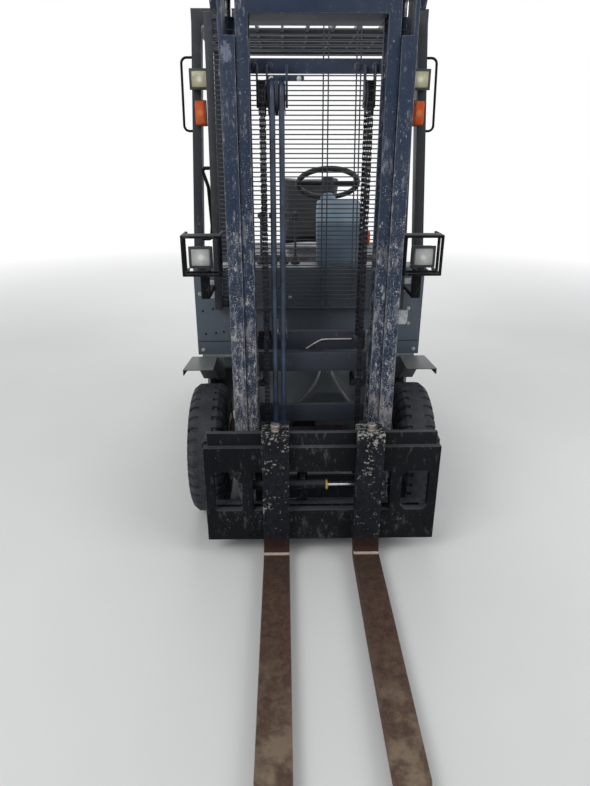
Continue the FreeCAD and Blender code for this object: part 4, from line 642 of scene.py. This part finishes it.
# The last 650 mm towards the tip are dusty, and near the heel loads and grease keep the rust dark.
tipward = add(tree, "MapRange", (parts[1], -1.15, -1.80))
dusty = add(tree, "Math", (tipward, add(tree, "MapRange", (film, 0.44, 0.60, 0.10, 0.75))), operation="MULTIPLY")
rust = linear("40312b")
for share, tone in (
        (add(tree, "MapRange", (mottle, 0.40, 0.62)), "58453b"),
        (add(tree, "MapRange", (speck, 0.53, 0.62, 0.0, 0.45)), "6e4a3c"),
        (add(tree, "MapRange", (streak, 0.52, 0.70, 0.0, 0.4)), "5d4a40"),
        (add(tree, "MapRange", (fine, 0.56, 0.68, 0.0, 0.5)), "221814"),
        (add(tree, "MapRange", (parts[1], -0.98, -0.76, 0.0, 0.45)), "2f2822"),
        (rubbed_rim, "96857a"),
        (dusty, "96856f")):
    rust = add(tree, "Mix", (share, rust, linear(tone)), data_type="RGBA")
# The paint is knocked through in groups of specks, most at the rims and higher up the shank.
shown = speck
for more in (
        add(tree, "MapRange", (parts[2], 0.15, 0.62, -0.03, 0.03)),
        add(tree, "Math", (rim, 0.10), operation="MULTIPLY"),
        add(tree, "MapRange", (groups, 0.3, 0.7, -0.06, 0.06)),
        add(tree, "MapRange", (parts[2], 0.54, 0.60, 0.0, 0.02))):
    shown = add(tree, "Math", (shown, more))
paint = linear("0f1115")
for share, tone in (
        (add(tree, "MapRange", (mottle, 0.4, 0.7, 0.0, 0.2)), "40444c"),
        (add(tree, "MapRange", (shown, 0.575, 0.60, 0.0, 0.5)), "3b2a24"),
        (add(tree, "MapRange", (shown, 0.60, 0.615)), "9b9994")):
    paint = add(tree, "Mix", (share, paint, linear(tone)), data_type="RGBA")
# Paint ends in a ragged line just above the heel, and a thin pale band is painted below it, on the bend where the
# blade begins.
line = add(tree, "Math", (parts[2], add(tree, "MapRange", (mottle, 0.3, 0.7, -0.02, 0.02))))
above = add(tree, "MapRange", (parts[2], 0.0536, 0.0545))
band = add(tree, "Math", (above, add(tree, "MapRange", (parts[2], 0.058, 0.060, 1.0, 0.0))), operation="MULTIPLY")
band = add(tree, "Math", (band, add(tree, "MapRange", (fine, 0.3, 0.5, 0.3, 0.9))), operation="MULTIPLY")
heel = add(tree, "Mix", (0.75, rust, linear("24130f")), data_type="RGBA")
whole = add(tree, "Mix", (add(tree, "MapRange", (line, 0.10, 0.13)), heel, paint), data_type="RGBA")
whole = add(tree, "Mix", (above, rust, whole), data_type="RGBA")
relief = add(tree, "Math", (fine, add(tree, "Math", (mottle, 0.6), operation="MULTIPLY")))
give(shader, {
    "Base Color": add(tree, "Mix", (band, whole, linear("bfa99d")), data_type="RGBA"),
    "Roughness": add(tree, "MapRange", (fine, 0.3, 0.7, 0.45, 0.85)), "Specular IOR Level": 0.12,
    "Normal": add(tree, "Bump", {"Strength": 0.5, "Distance": 0.0012, "Height": relief, "Normal": rounded})})
for side in ("left", "right"):
    eased(f"fork_{side}", f"forged_fork_{side}", fork_steel, width=0.003, segments=3)
pin_steel = bright_steel("worn_bronzed_pins", "989089", 0.42, stain="3b3531", stained=0.6, seed=6.0)
eased("fork_pins", "fork_lock_pins", pin_steel, width=0.003, segments=3)

# Wheels
# Solid rubber tyres with lateral lugs at both shoulders, pressed on dished steel rims. The front ones are
# bolted to the drive hubs and the rear ones turn on the steering knuckles.

tread, tree, shader = surface("solid_tyre_rubber")
spot = add(tree, "TexCoord").outputs["Object"]
# Grey floor dust in clouds 80 mm across, and moulding grain of 1 mm.
dust = add(tree, "TexNoise", {"Vector": spot, "Scale": 13.0, "Detail": 6.0, "Roughness": 0.65})
grain = add(tree, "TexNoise", {"Vector": spot, "Scale": 700.0, "Detail": 2.0})
scar = add(tree, "TexNoise", {"Vector": spot, "Scale": 70.0, "Detail": 6.0, "Roughness": 0.7})
base = linear("1f2126")
for share, tone in ((add(tree, "MapRange", (dust, 0.35, 0.7)), "43474c"),
                    (add(tree, "MapRange", (scar, 0.60, 0.70, 0.0, 0.5)), "5c5b59")):
    base = add(tree, "Mix", (share, base, linear(tone)), data_type="RGBA")
relief = add(tree, "Math", (grain, scar))
give(shader, {"Base Color": base, "Roughness": add(tree, "MapRange", (dust, 0.3, 0.7, 0.6, 0.92)),
              "Specular IOR Level": 0.3,
              "Normal": add(tree, "Bump", {"Strength": 0.35, "Distance": 0.0008, "Height": relief})})
rim_paint = enamel("pale_rim_enamel", "b9b7ac", "6b675f", wear=0.5, gloss=0.5, seed=9.0, edge=0.004, dust="6f6a60",
                   dusted=0.5)


def tyre(radius, width, bore, lugs):
    """A solid tyre about the X axis with its inner side wall at X = 0 and grooves across both shoulders."""
    wall = radius * 0.74
    profile = [(0.0, bore), (0.0, bore + 0.02), (0.004, wall - 0.03), (0.004, wall), (width * 0.06, radius * 0.88),
               (width * 0.10, radius * 0.94), (width * 0.22, radius - 0.001), (width * 0.34, radius),
               (width * 0.5, radius)]
    profile += [(width - x, r) for x, r in reversed(profile[:-1])]
    mesh = bpy.data.meshes.new("tyre")
    mesh.from_pydata([(x, 0.0, r) for x, r in profile], [(n, n + 1) for n in range(len(profile) - 1)], [])
    ring = bpy.data.objects.new("tyre", mesh)
    bpy.context.scene.collection.objects.link(ring)
    alone(ring)
    bpy.ops.object.mode_set(mode="EDIT")
    bpy.ops.mesh.select_all(action="SELECT")
    bpy.ops.mesh.spin(steps=lugs * 3, angle=2 * math.pi, center=(0, 0, 0), axis=(1, 0, 0))
    bpy.ops.mesh.select_all(action="SELECT")
    bpy.ops.mesh.remove_doubles(threshold=0.0001)
    bpy.ops.mesh.normals_make_consistent(inside=False)
    close_edit()

    def in_groove(point, normal):
        turn = math.atan2(point.y, point.z) / (2 * math.pi) * lugs % 1.0
        far = math.hypot(point.y, point.z)
        return far > radius * 0.80 and turn < 1 / 3 and abs(point.x - width / 2) > width * 0.15

    pick(ring, in_groove)
    bpy.ops.mesh.extrude_region_shrink_fatten(TRANSFORM_OT_shrink_fatten={"value": -0.011})
    close_edit()
    return bevelled(ring, 0.0018, angle=38)


def wheel_nuts(count, ring, x, way):
    """Hexagon nuts with their studs in a circle on the face of a rim. way is +1 where they point to +X."""
    nut = start("cylinder", vertices=6, radius=0.0155, depth=0.018, location=(x + way * 0.009, 0, ring),
                rotation=ACROSS)
    bevelled(nut, 0.0015)
    stud = start("cylinder", vertices=16, radius=0.008, depth=0.014, location=(x + way * 0.023, 0, ring),
                 rotation=ACROSS)
    return copies(joined([nut, stud]), [Matrix.Rotation(2 * math.pi * n / count, 4, "X") for n in range(count)])


# The tyres are drawn half a millimetre smaller all round than the solids that they replace.
CLEAR = 0.0005
# Wheels: end, inner face, width, radius, bore, centre Y, lugs, nuts, the circle that they are on, rim face
for end, inner, width, radius, bore, y, lugs, nuts, circle, face in (
        ("front", 0.385, 0.185, 0.310, 0.165, -0.195, 36, 8, 0.105, 0.4923),
        ("rear", 0.410, 0.150, 0.250, 0.118, 1.405, 30, 6, 0.070, 0.4970)):
    for side, way in (("left", -1), ("right", 1)):
        ring = tyre(radius - CLEAR, width - 2 * CLEAR, bore + CLEAR, lugs)
        ring.location = (inner + CLEAR if way > 0 else -inner - width + CLEAR, y, radius)
        settle(ring, f"{end}_solid_tyre_{side}", tread, f"{end}_wheel_{side}", angle=28)
        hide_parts(f"{end}_tyre_{side}")
        eased(f"{end}_rim_{side}", f"{end}_rim_disc_{side}", rim_paint, width=0.002)
        studs = wheel_nuts(nuts, circle, way * face, way)
        studs.location = (0, y, radius)
        settle(studs, f"{end}_wheel_nuts_{side}", zinc, f"{end}_wheel_{side}")

# Axles and tilt cylinders
# Cast housings under dust and oil, and two double-acting rams from the frame to the mast.

iron = enamel("oily_cast_iron", "26262a", "5b5148", wear=0.55, gloss=0.5, rust="4a2f22", seed=11.0, edge=0.003,
              dust="6b625a", dusted=0.5)
eased("drive_axle", "drive_axle_casing", iron, width=0.004, segments=3)
eased("steer_axle", "steer_axle_beam", iron, width=0.004)
for side in ("left", "right"):
    eased(f"knuckle_{side}", f"steer_knuckle_{side}", iron, width=0.002)
eased("tilt_barrels", "tilt_cylinder_tubes", navy)
eased("tilt_rods", "tilt_cylinder_rods", chrome)

# Chassis
# Folded and welded plate in dark enamel: the bulkhead behind the axle, side sills, floor and battery tray.

dark = enamel("dark_enamel_on_plate", "22252b", "7f848c", wear=0.35, low=0.3, high=1.4, edge=0.003, seed=7.0,
              dust="6d7176", dusted=0.7, sides=0.12)
chassis_paint = enamel("dusty_chassis_enamel", "566064", "7f848c", wear=0.45, low=0.3, high=1.0, edge=0.003,
                       seed=8.0, dust="858b8d", dusted=0.85, sides=0.8)
eased("frame", "chassis_weldment", chassis_paint, width=0.0025)

# Feed hoses
# Two short hydraulic hoses, 14 mm across, that leave the bulkhead behind the mast and come back beside its
# opening, each end in a crimped steel sleeve and a hexagon nut.

# Points of their routes in millimetres
FEED_X = {"left": (52, 52, 46, 20, -28, -66, -86, -92, -92), "right": (104, 104, 110, 136, 178, 208, 222, 226, 226)}
FEED_Y = (-9, -57, -99, -133, -135, -113, -77, -41, -9)
FEED_Z = (668, 668, 646, 598, 540, 486, 455, 444, 444)
# Dust clouds 45 mm long on grey rubber, with the marks of its cloth wrap.
feed_rubber = clouded("dusty_feed_hose_rubber", ("6b6f72", "9a9c9b"), 22.0, 5.0, 0.35, 0.7, 0.6,
                      (600.0, 1.0, 0.25, 0.0004))
for side, across in FEED_X.items():
    route = [(x / 1000, y / 1000, z / 1000) for x, y, z in zip(across, FEED_Y, FEED_Z)]
    hose = bent_line(f"feed_line_{side}", route, 0.007)
    hose.data.bevel_resolution = 6
    hose.data.resolution_u = 12
    hose.data.materials.append(feed_rubber)
    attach(hose, "chassis")
    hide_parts(f"feed_hose_{side}")
    ends = []
    for x, _, z in (route[0], route[-1]):
        sleeve = start("cylinder", vertices=24, radius=0.0095, depth=0.026, location=(x, -0.028, z),
                       rotation=FORE_AND_AFT)
        nut = start("cylinder", vertices=6, radius=0.0125, depth=0.012, location=(x, -0.0145, z),
                    rotation=FORE_AND_AFT)
        ends.append(bevelled(joined([sleeve, nut]), 0.0010))
    settle(joined(ends), f"feed_hose_ends_{side}", zinc, "chassis")

# Cowl
# A folded steel front in grey enamel, screwed to the chassis, with three blank plates and open holes.

grey = enamel("grey_enamel_on_sheet", "4e5760", "8c9096", wear=0.22, low=0.3, high=1.4, edge=0.003, seed=5.0,
              dust="6f7378", dusted=0.5, sides=0.12)
eased("cowl", "cowl_shell", grey, width=0.004, segments=3)
screws = copies(hex_head(0.013, 0.005, 0.010), [(x, 0.025, z) for x, z in (
    (-0.524, 1.018), (-0.524, 0.735), (0.484, 0.943), (0.488, 0.867), (0.524, 0.735), (-0.093, 1.0))])
settle(screws, "cowl_screws", zinc, "chassis")
# Painted shade: black discs stand for the shade inside the open holes, and the same black marks the dark joint
# between the panels.
hole_shade_and_joint_black = clouded("painted_hole_shade_and_joint_black", ("050506", "0d0d10"), 300.0, 2.0, 0.0, 1.0, 0.9)
SKIN_Y = 0.0246
hole = start("cylinder", vertices=20, radius=0.0055, depth=0.0012, rotation=FORE_AND_AFT)
holes = copies(hole, [(x, SKIN_Y, z) for x, z in (
    (-0.515, 0.933), (-0.466, 0.943), (-0.432, 0.942), (-0.507, 0.817), (-0.457, 0.822), (-0.418, 0.827))])
settle(holes, "cowl_painted_hole_shade", hole_shade_and_joint_black, "chassis")
seam = start("cube", size=1.0, location=(0, SKIN_Y + 0.0001, 0.7795), scale=(1.090, 0.0012, 0.0032))
settle(seam, "cowl_panel_joint", hole_shade_and_joint_black, "chassis")
# Bare foil, smeared grey in patches about 25 mm across.
blank = clouded("blank_foil_plates", ("c2c7ca", "8f9396"), 40.0, 5.0, 0.4, 0.7, 0.5)
plates = [bevelled(baked(start("cube", size=1.0, location=(x, SKIN_Y, z), scale=(wide, 0.0012, tall))), 0.0005, 1)
          for x, z, wide, tall in (
              (-0.451, 1.040, 0.072, 0.088), (0.4615, 1.0585, 0.047, 0.063), (0.461, 0.8975, 0.044, 0.071))]
settle(joined(plates), "blank_plates", blank, "chassis")
pale = enamel("dusty_fender_enamel", "33383d", "9a9c98", wear=0.35, edge=0.003, seed=15.0, dust="858a86",
              dusted=0.85, sides=0.3)
eased("front_fenders", "front_fender_plates", pale)

# Battery, side panels and hood
# The battery is a welded steel tray of cells under a hinged hood that carries the seat. The cells have plugs
# in four rows and lead straps between them, and the side panels have pressed louvres and hex screws.

battery_steel = enamel("battery_tray_enamel", "1d2024", "6f6f6c", wear=0.4, gloss=0.55, seed=13.0, edge=0.003,
                       dusted=0.4)
eased("battery", "battery_tray", battery_steel, width=0.004)
eased("side_panels", "side_panel_pair", grey, width=0.006, segments=3)
eased("hood", "seat_hood", grey, width=0.003)
# Moulded plastic, clouded by acid mist in patches about 17 mm across.
plug = clouded("moulded_cell_plugs", ("8c8a80", "55534d"), 60.0, 4.0, 0.4, 0.7, 0.55)
CELL_WIDE = 0.2
CELL_LONG = 0.1
cap = bevelled(start("cylinder", vertices=20, radius=0.016, depth=0.010, location=(0, 0, 0.9102)), 0.002)
caps = copies(cap, [(x * CELL_WIDE - 0.3, 0.51 + y * CELL_LONG, 0) for x in range(4) for y in range(6)])
settle(caps, "battery_cell_plugs", plug, "chassis")
lead = bevelled(start("cube", size=1.0, location=(0, 0, 0.909), scale=(0.12, 0.026, 0.008)), 0.0015)
leads = copies(lead, [(x * CELL_WIDE - 0.2, 0.54 + y * CELL_LONG, 0) for x in range(3) for y in range(6)])
settle(leads, "battery_lead_straps", pipe_steel, "chassis")
PANEL_X = 0.550
slot = baked(start("cylinder", vertices=24, radius=0.5, depth=1.0, rotation=FORE_AND_AFT))
slot.scale = (0.008, 0.16, 0.016)
louvres = copies(slot, [(way * PANEL_X, y, z) for way in (-1, 1) for y in (0.60, 0.80)
                        for z in (0.62, 0.655, 0.69, 0.725, 0.76)])
settle(bevelled(louvres, 0.001, angle=40), "side_panel_louvres", grey, "chassis")
sides = [Matrix.Translation((way * PANEL_X, y, z)) @ Matrix.Rotation(way * math.pi / 2, 4, "Z")
         for way in (-1, 1) for y in (0.42, 1.06) for z in (0.45, 0.88)]
settle(copies(hex_head(0.013, 0.005, 0.010), sides), "side_panel_screws", zinc, "chassis")

# Counterweight
# One iron casting, filled and sprayed in the truck's grey, with the coarse skin that sand moulding leaves.

casting, tree, shader = surface("sand_cast_iron_in_grey_enamel")
place = add(tree, "TexCoord").outputs["Object"]
coarse = add(tree, "TexNoise", {"Vector": place, "Scale": 9.0, "Detail": 3.0})
sand = add(tree, "TexNoise", {"Vector": place, "Scale": 320.0, "Detail": 4.0, "Roughness": 0.6})
knock = add(tree, "TexNoise", {"Vector": place, "Scale": 30.0, "Detail": 8.0, "Roughness": 0.7})
height = add(tree, "SeparateXYZ", {"Vector": place}).outputs[2]
score = add(tree, "Math", (knock, add(tree, "MapRange", (height, 0.75, 0.25, 0.0, 0.05))))
tone = linear("2e323b")
for share, over in (
        (add(tree, "MapRange", (coarse, 0.35, 0.7)), "3b3f47"),
        (add(tree, "MapRange", (score, 0.655, 0.67)), "77726c"),
        (add(tree, "MapRange", (score, 0.70, 0.71)), "5d3c2d")):
    tone = add(tree, "Mix", (share, tone, linear(over)), data_type="RGBA")
relief = add(tree, "Math", (add(tree, "Math", (sand, 0.5), operation="MULTIPLY"),
                            add(tree, "Math", (coarse, 2.0), operation="MULTIPLY")))
give(shader, {"Base Color": tone, "Roughness": add(tree, "MapRange", (coarse, 0.3, 0.7, 0.45, 0.7)),
              "Specular IOR Level": 0.35,
              "Normal": add(tree, "Bump", {"Strength": 0.5, "Distance": 0.0015, "Height": relief})})
eased("counterweight", "counterweight_casting", casting, width=0.014, segments=4, angle=25)

# Overhead guard
# Welded rectangular tube in dark enamel, with thin bars across the roof to stop falling goods.

eased("overhead_guard", "overhead_guard_tubes", dark, width=0.005, segments=3)

# Mesh screen
# A raked frame of flat bar with round wires welded across it every 19.5 mm and a few upright ones behind.

SCREEN_LOW = 0.950
SCREEN_TOP = 2.192
SCREEN_MIDDLE = (SCREEN_LOW + SCREEN_TOP) / 2
SCREEN_FOOT_Y = -0.023
SCREEN_LEAN = 0.144 / (SCREEN_TOP - SCREEN_LOW)
SCREEN_HALF = 0.450
BAR = 0.034
BAR_DEEP = 0.022
INNER = (-SCREEN_HALF + BAR, SCREEN_HALF - BAR)
WIRE_STEP = 0.0195


def screen_y(z):
    """The front face of the screen's frame at a height."""
    return SCREEN_FOOT_Y + SCREEN_LEAN * (z - SCREEN_LOW)


def raked_bar(x, low, high):
    """A flat bar in the plane of the screen, with its span in X and its heights."""
    bar = baked(start("cube", size=1.0, location=((x[0] + x[1]) / 2, 0, (low + high) / 2),
                      scale=(x[1] - x[0], BAR_DEEP, high - low)))
    for end, test in ((high, lambda point, normal: point.z > high - 0.001),
                      (low, lambda point, normal: point.z < low + 0.001)):
        pick(bar, test)
        bpy.ops.transform.translate(value=(0, screen_y(end) + BAR_DEEP / 2, 0))
        close_edit()
    return bar


bars = [raked_bar((-SCREEN_HALF, INNER[0]), SCREEN_LOW, SCREEN_TOP),
        raked_bar((INNER[1], SCREEN_HALF), SCREEN_LOW, SCREEN_TOP),
        raked_bar(INNER, SCREEN_LOW, SCREEN_LOW + 0.01),
        raked_bar(INNER, SCREEN_TOP - 0.03, SCREEN_TOP)]
# Lugs hold it to the cowl below and to the roof of the guard above.
for x in (-0.41, 0.41):
    bars.append(start("cube", size=1.0, location=(x, 0.012, 0.980), scale=(0.04, 0.026, 0.06)))
    bars.append(start("cube", size=1.0, location=(x, 0.175, 2.137), scale=(0.04, 0.100, 0.05)))
screen_frame = settle(bevelled(joined(bars), 0.003), "screen_frame", dark, "chassis")
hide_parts("mesh_screen")
wire = start("cylinder", vertices=8, radius=0.0027, depth=0.870, rotation=ACROSS)
heights = [SCREEN_LOW + 0.0275 + number * WIRE_STEP for number in range(1, 61)]
wires = copies(wire, [(0, screen_y(z) + BAR_DEEP / 2, z) for z in heights])
lean = math.atan(SCREEN_LEAN)
post = start("cylinder", vertices=8, radius=0.003, depth=(SCREEN_TOP - SCREEN_LOW - 0.02) / math.cos(lean),
             rotation=(-lean, 0, 0))
posts = copies(post, [(x, screen_y(SCREEN_MIDDLE) + 0.0165, SCREEN_MIDDLE)
                      for x in (-0.36, -0.29, 0.056, 0.078, 0.200, 0.218, 0.36)])
# The wires are dusty and rubbed, so they are paler than the frame.
wire_grey = enamel("dusty_wire_enamel", "3b3f45", "7c8086", wear=0.2, gloss=0.55, seed=12.0, edge=0.001,
                   dust="74777b", dusted=0.6, sides=0.4, shine=0.15)
settle(joined([wires, posts]), "screen_wires", wire_grey, "chassis")

# Lamps
# Each head lamp and work lamp is a moulded housing with a ribbed lens, and the turn signals are amber.
# Cages and hoops of bent round bar protect them.

# Moulding grain of 0.7 mm, with dust in clouds 50 mm across.
plain_black = clouded("moulded_black_plastic", ("17181a", "3a3b3d"), 20.0, 5.0, 0.4, 0.75, (0.4, 0.7),
                      (1400.0, 1.0, 0.25, 0.0003))


def lens_finish(name, pale, painted_reflector_shade, ribs, centre, reach, painted_glint="f1efe4"):
    """A moulded lens over its reflector, painted with a highlight at its middle and shade at its rim and flutes.
    ribs is how far apart its flutes are in millimetres, centre is the lamp's middle in X and Z, and reach how far
    its reflector goes."""
    material, tree, shader = surface(name)
    spot = add(tree, "TexCoord").outputs["Object"]
    parts = add(tree, "SeparateXYZ", {"Vector": spot}).outputs
    side = add(tree, "Math", {0: parts[0]}, operation="ABSOLUTE")
    off = [add(tree, "Math", (side, -centre[0])), add(tree, "Math", (parts[2], -centre[1]))]
    squares = [add(tree, "Math", (item, item), operation="MULTIPLY") for item in off]
    far = add(tree, "Math", (add(tree, "Math", squares), 0.5), operation="POWER")
    turns = add(tree, "Math", (off[0], 2 * math.pi * 1000 / ribs), operation="MULTIPLY")
    wave = add(tree, "Math", {0: turns}, operation="SINE")
    film = add(tree, "TexNoise", {"Vector": spot, "Scale": 45.0, "Detail": 5.0})
    tone = linear(pale)
    # From the lens up: painted shade towards the rim of the reflector, painted shade in the flutes, a painted
    # highlight of the lit reflector at the middle, and a film of road dirt.
    for share, over in (
            (add(tree, "MapRange", (far, reach * 0.2, reach)), painted_reflector_shade),
            (add(tree, "MapRange", (wave, -1.0, 1.0, 0.0, 0.16)), painted_reflector_shade),
            (add(tree, "MapRange", (far, reach * 0.30, reach * 0.12, 0.0, 0.9)), painted_glint),
            (add(tree, "MapRange", (film, 0.4, 0.75, 0.0, 0.35)), "8f8b80")):
        tone = add(tree, "Mix", (share, tone, linear(over)), data_type="RGBA")
    give(shader, {"Base Color": tone, "Roughness": 0.14, "Coat Weight": 0.5, "Coat Roughness": 0.08,
                  "Normal": add(tree, "Bump", {"Strength": 0.35, "Distance": 0.001, "Height": wave})})
    return material


# The second tone of each lens is painted shade, and the amber one's last tone is its painted highlight.
frosted = lens_finish("frosted_head_lamp_glass", "d6d8d4", "8a8d8c", 7.0, (0.471, 1.238), 0.05)
cream = lens_finish("aged_work_lamp_glass", "d0caa2", "8d8763", 6.0, (0.482, 1.940), 0.045)
amber = lens_finish("amber_signal_plastic", "e05a04", "c44802", 5.0, (0.484, 1.806), 0.055, "ee8436")
# The sun has dulled the gloss of the amber plastic.
give(amber.node_tree.nodes["Principled BSDF"], {"Coat Weight": 0.0, "Roughness": 0.45, "Specular IOR Level": 0.2})


def block(x, y, z, bevel=0.004, segments=3):
    """A moulded block between two values along each axis, with rounded corners."""
    piece = start("cube", size=1.0, location=[(pair[0] + pair[1]) / 2 for pair in (x, y, z)],
                  scale=[pair[1] - pair[0] for pair in (x, y, z)])
    return bevelled(baked(piece), bevel, segments)


def both_sides(*blocks):
    """Blocks on the right side of the truck and the same on the left, as one piece. Each has its spans in X, Y
    and Z and how far its corners are rounded."""
    return joined([joined([block(x if side > 0 else (-x[1], -x[0]), y, z, bevel) for x, y, z, bevel in blocks])
                   for side in (-1, 1)])


housings = both_sides(
    ((0.424, 0.518), (-0.251, -0.209), (1.196, 1.280), 0.010),
    ((0.420, 0.522), (-0.258, -0.250), (1.192, 1.284), 0.003),
    ((0.459, 0.483), (-0.247, -0.219), (1.182, 1.198), 0.002),
    ((0.439, 0.525), (0.128, 0.172), (1.900, 1.980), 0.012),
    ((0.437, 0.527), (0.121, 0.129), (1.898, 1.982), 0.003),
    ((0.478, 0.498), (0.169, 0.1757), (1.925, 1.945), 0.001),
    ((0.458, 0.510), (0.130, 0.142), (1.753, 1.859), 0.003),
    ((0.480, 0.500), (0.140, 0.1603), (1.800, 1.820), 0.002))
settle(housings, "lamp_housings", plain_black, "chassis")
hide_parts("white_lamps", "signal_lamps")
for name, finish, slot, x, y, z, bevel in (
        ("head_lamp_lenses", frosted, "lamp_lens", (0.431, 0.511), (-0.262, -0.252), (1.203, 1.273), 0.007),
        ("work_lamp_lenses", cream, "lamp_lens", (0.446, 0.518), (0.119, 0.130), (1.907, 1.973), 0.008),
        ("turn_signal_lenses", amber, "amber_lens", (0.461, 0.507), (0.102, 0.136), (1.757, 1.855), 0.010),
        ("tail_lamps", amber, "amber_lens", (0.430, 0.500), (1.545, 1.605), (1.0215, 1.110), 0.012)):
    settle(both_sides((x, y, z, bevel)), name, finish, "chassis")
eased("lamp_guards", "lamp_guard_bars", black, width=0.0045, segments=3)

# Steering column and controls
# A moulded console with the column out of its top, a plain wheel, four levers in rubber boots and two pedals.

console_finish, tree, shader = surface("blue_grey_console_plastic")
spot = add(tree, "TexCoord").outputs["Object"]
# Moulding grain of 1 mm, dust in clouds 110 mm across, and a darker lower half, whose darkness is painted shade.
pebble = add(tree, "TexNoise", {"Vector": spot, "Scale": 900.0, "Detail": 2.0})
dust = add(tree, "MapRange", (add(tree, "TexNoise", {"Vector": spot, "Scale": 9.0, "Detail": 5.0}), 0.35, 0.75))
upper = add(tree, "Mix", (dust, linear("a6bfce"), linear("b6cad7")), data_type="RGBA")
# The lower tones are darker as painted shade.
lower = add(tree, "Mix", (dust, linear("687f92"), linear("7f94a6")), data_type="RGBA")
top = add(tree, "MapRange", (add(tree, "SeparateXYZ", {"Vector": spot}).outputs[2], 1.325, 1.345))
give(shader, {"Base Color": add(tree, "Mix", (top, lower, upper), data_type="RGBA"), "Roughness": 0.55,
              "Normal": add(tree, "Bump", {"Strength": 0.2, "Distance": 0.0004, "Height": pebble})})
eased("steering_console", "steering_console_shell", console_finish, width=0.012, segments=4)
eased("steering_wheel", "steering_wheel_rim", plain_black, width=0.002)
eased("levers", "control_levers", plain_black)
eased("pedals", "foot_pedals", plain_black, width=0.002)
boot = start("cone", vertices=28, radius1=0.024, radius2=0.009, depth=0.040, location=(0, 0.137, 1.1625))
pick(boot, lambda point, normal: abs(normal.z) < 0.9)
bpy.ops.mesh.subdivide(number_cuts=3)
close_edit()
boots = bevelled(copies(boot, [(-0.230 + number * 0.055, 0, 0) for number in range(4)]), 0.0015)
settle(boots, "lever_boots", plain_black, "chassis")
eased("seat_base", "seat_slide_base", plain_black, width=0.004)

# Seat
# A foam cushion and back rest in black vinyl, crowned by their stuffing, on a slide over the hood.

# Leather grain with cells of about 2 mm, rubbed shiny in patches 100 mm across.
vinyl = clouded("grained_black_vinyl", ("141518", "27292d"), 9.0, 4.0, 0.4, 0.7, (0.38, 0.62))
tree = vinyl.node_tree
spot = add(tree, "TexCoord").outputs["Object"]
cells = add(tree, "TexVoronoi", {"Vector": spot, "Scale": 520.0}, feature="DISTANCE_TO_EDGE")
cells = add(tree, "MapRange", (cells, 0.0, 0.12))
give(tree.nodes["Principled BSDF"],
     {"Normal": add(tree, "Bump", {"Strength": 0.35, "Distance": 0.0005, "Height": cells})})


def stuffed(form, cap, frames=20):
    """Blow up a closed form as a foam pad under its cover, and keep every point within cap of where it was."""
    applied(form, "REMESH", mode="VOXEL", voxel_size=0.006)
    before = [vertex.co.copy() for vertex in form.data.vertices]
    alone(form)
    cloth = form.modifiers.new("cloth", "CLOTH")
    cloth.settings.use_pressure = True
    cloth.settings.uniform_pressure_force = 4.0
    cloth.settings.effector_weights.gravity = 0.0
    cloth.settings.quality = 5
    cloth.point_cache.frame_start = 1
    cloth.point_cache.frame_end = frames
    scene = bpy.context.scene
    for number in range(1, frames + 1):
        scene.frame_set(number)
    bpy.ops.object.modifier_apply(modifier=cloth.name)
    scene.frame_set(1)
    for vertex, old in zip(form.data.vertices, before):
        moved = vertex.co - old
        if moved.length > cap:
            vertex.co = old + moved.normalized() * cap


SEAT_X = (-0.165, 0.245)
cushion = block((SEAT_X[0] + 0.012, SEAT_X[1] - 0.012), (0.507, 0.973), (1.0115, 1.086), 0.022, 4)
rest = block((SEAT_X[0] + 0.027, SEAT_X[1] - 0.027), (-0.035, 0.035), (0.0, 0.395), 0.024, 4)
# The top of the back rest leans back.
pick(rest, lambda point, normal: point.z > 0.36)
bpy.ops.transform.translate(value=(0, 0.045, 0))
close_edit()
rest.location = (0, 0.942, 1.110)
baked(rest)
for pad, cap, name, node in ((cushion, 0.018, "seat_cushion_pad", "seat_cushion"),
                             (rest, 0.016, "seat_back_pad", "seat_back")):
    stuffed(pad, cap)
    applied(pad, "SMOOTH", iterations=4)
    settle(pad, name, vinyl, "hood", angle=80)
    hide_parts(node)
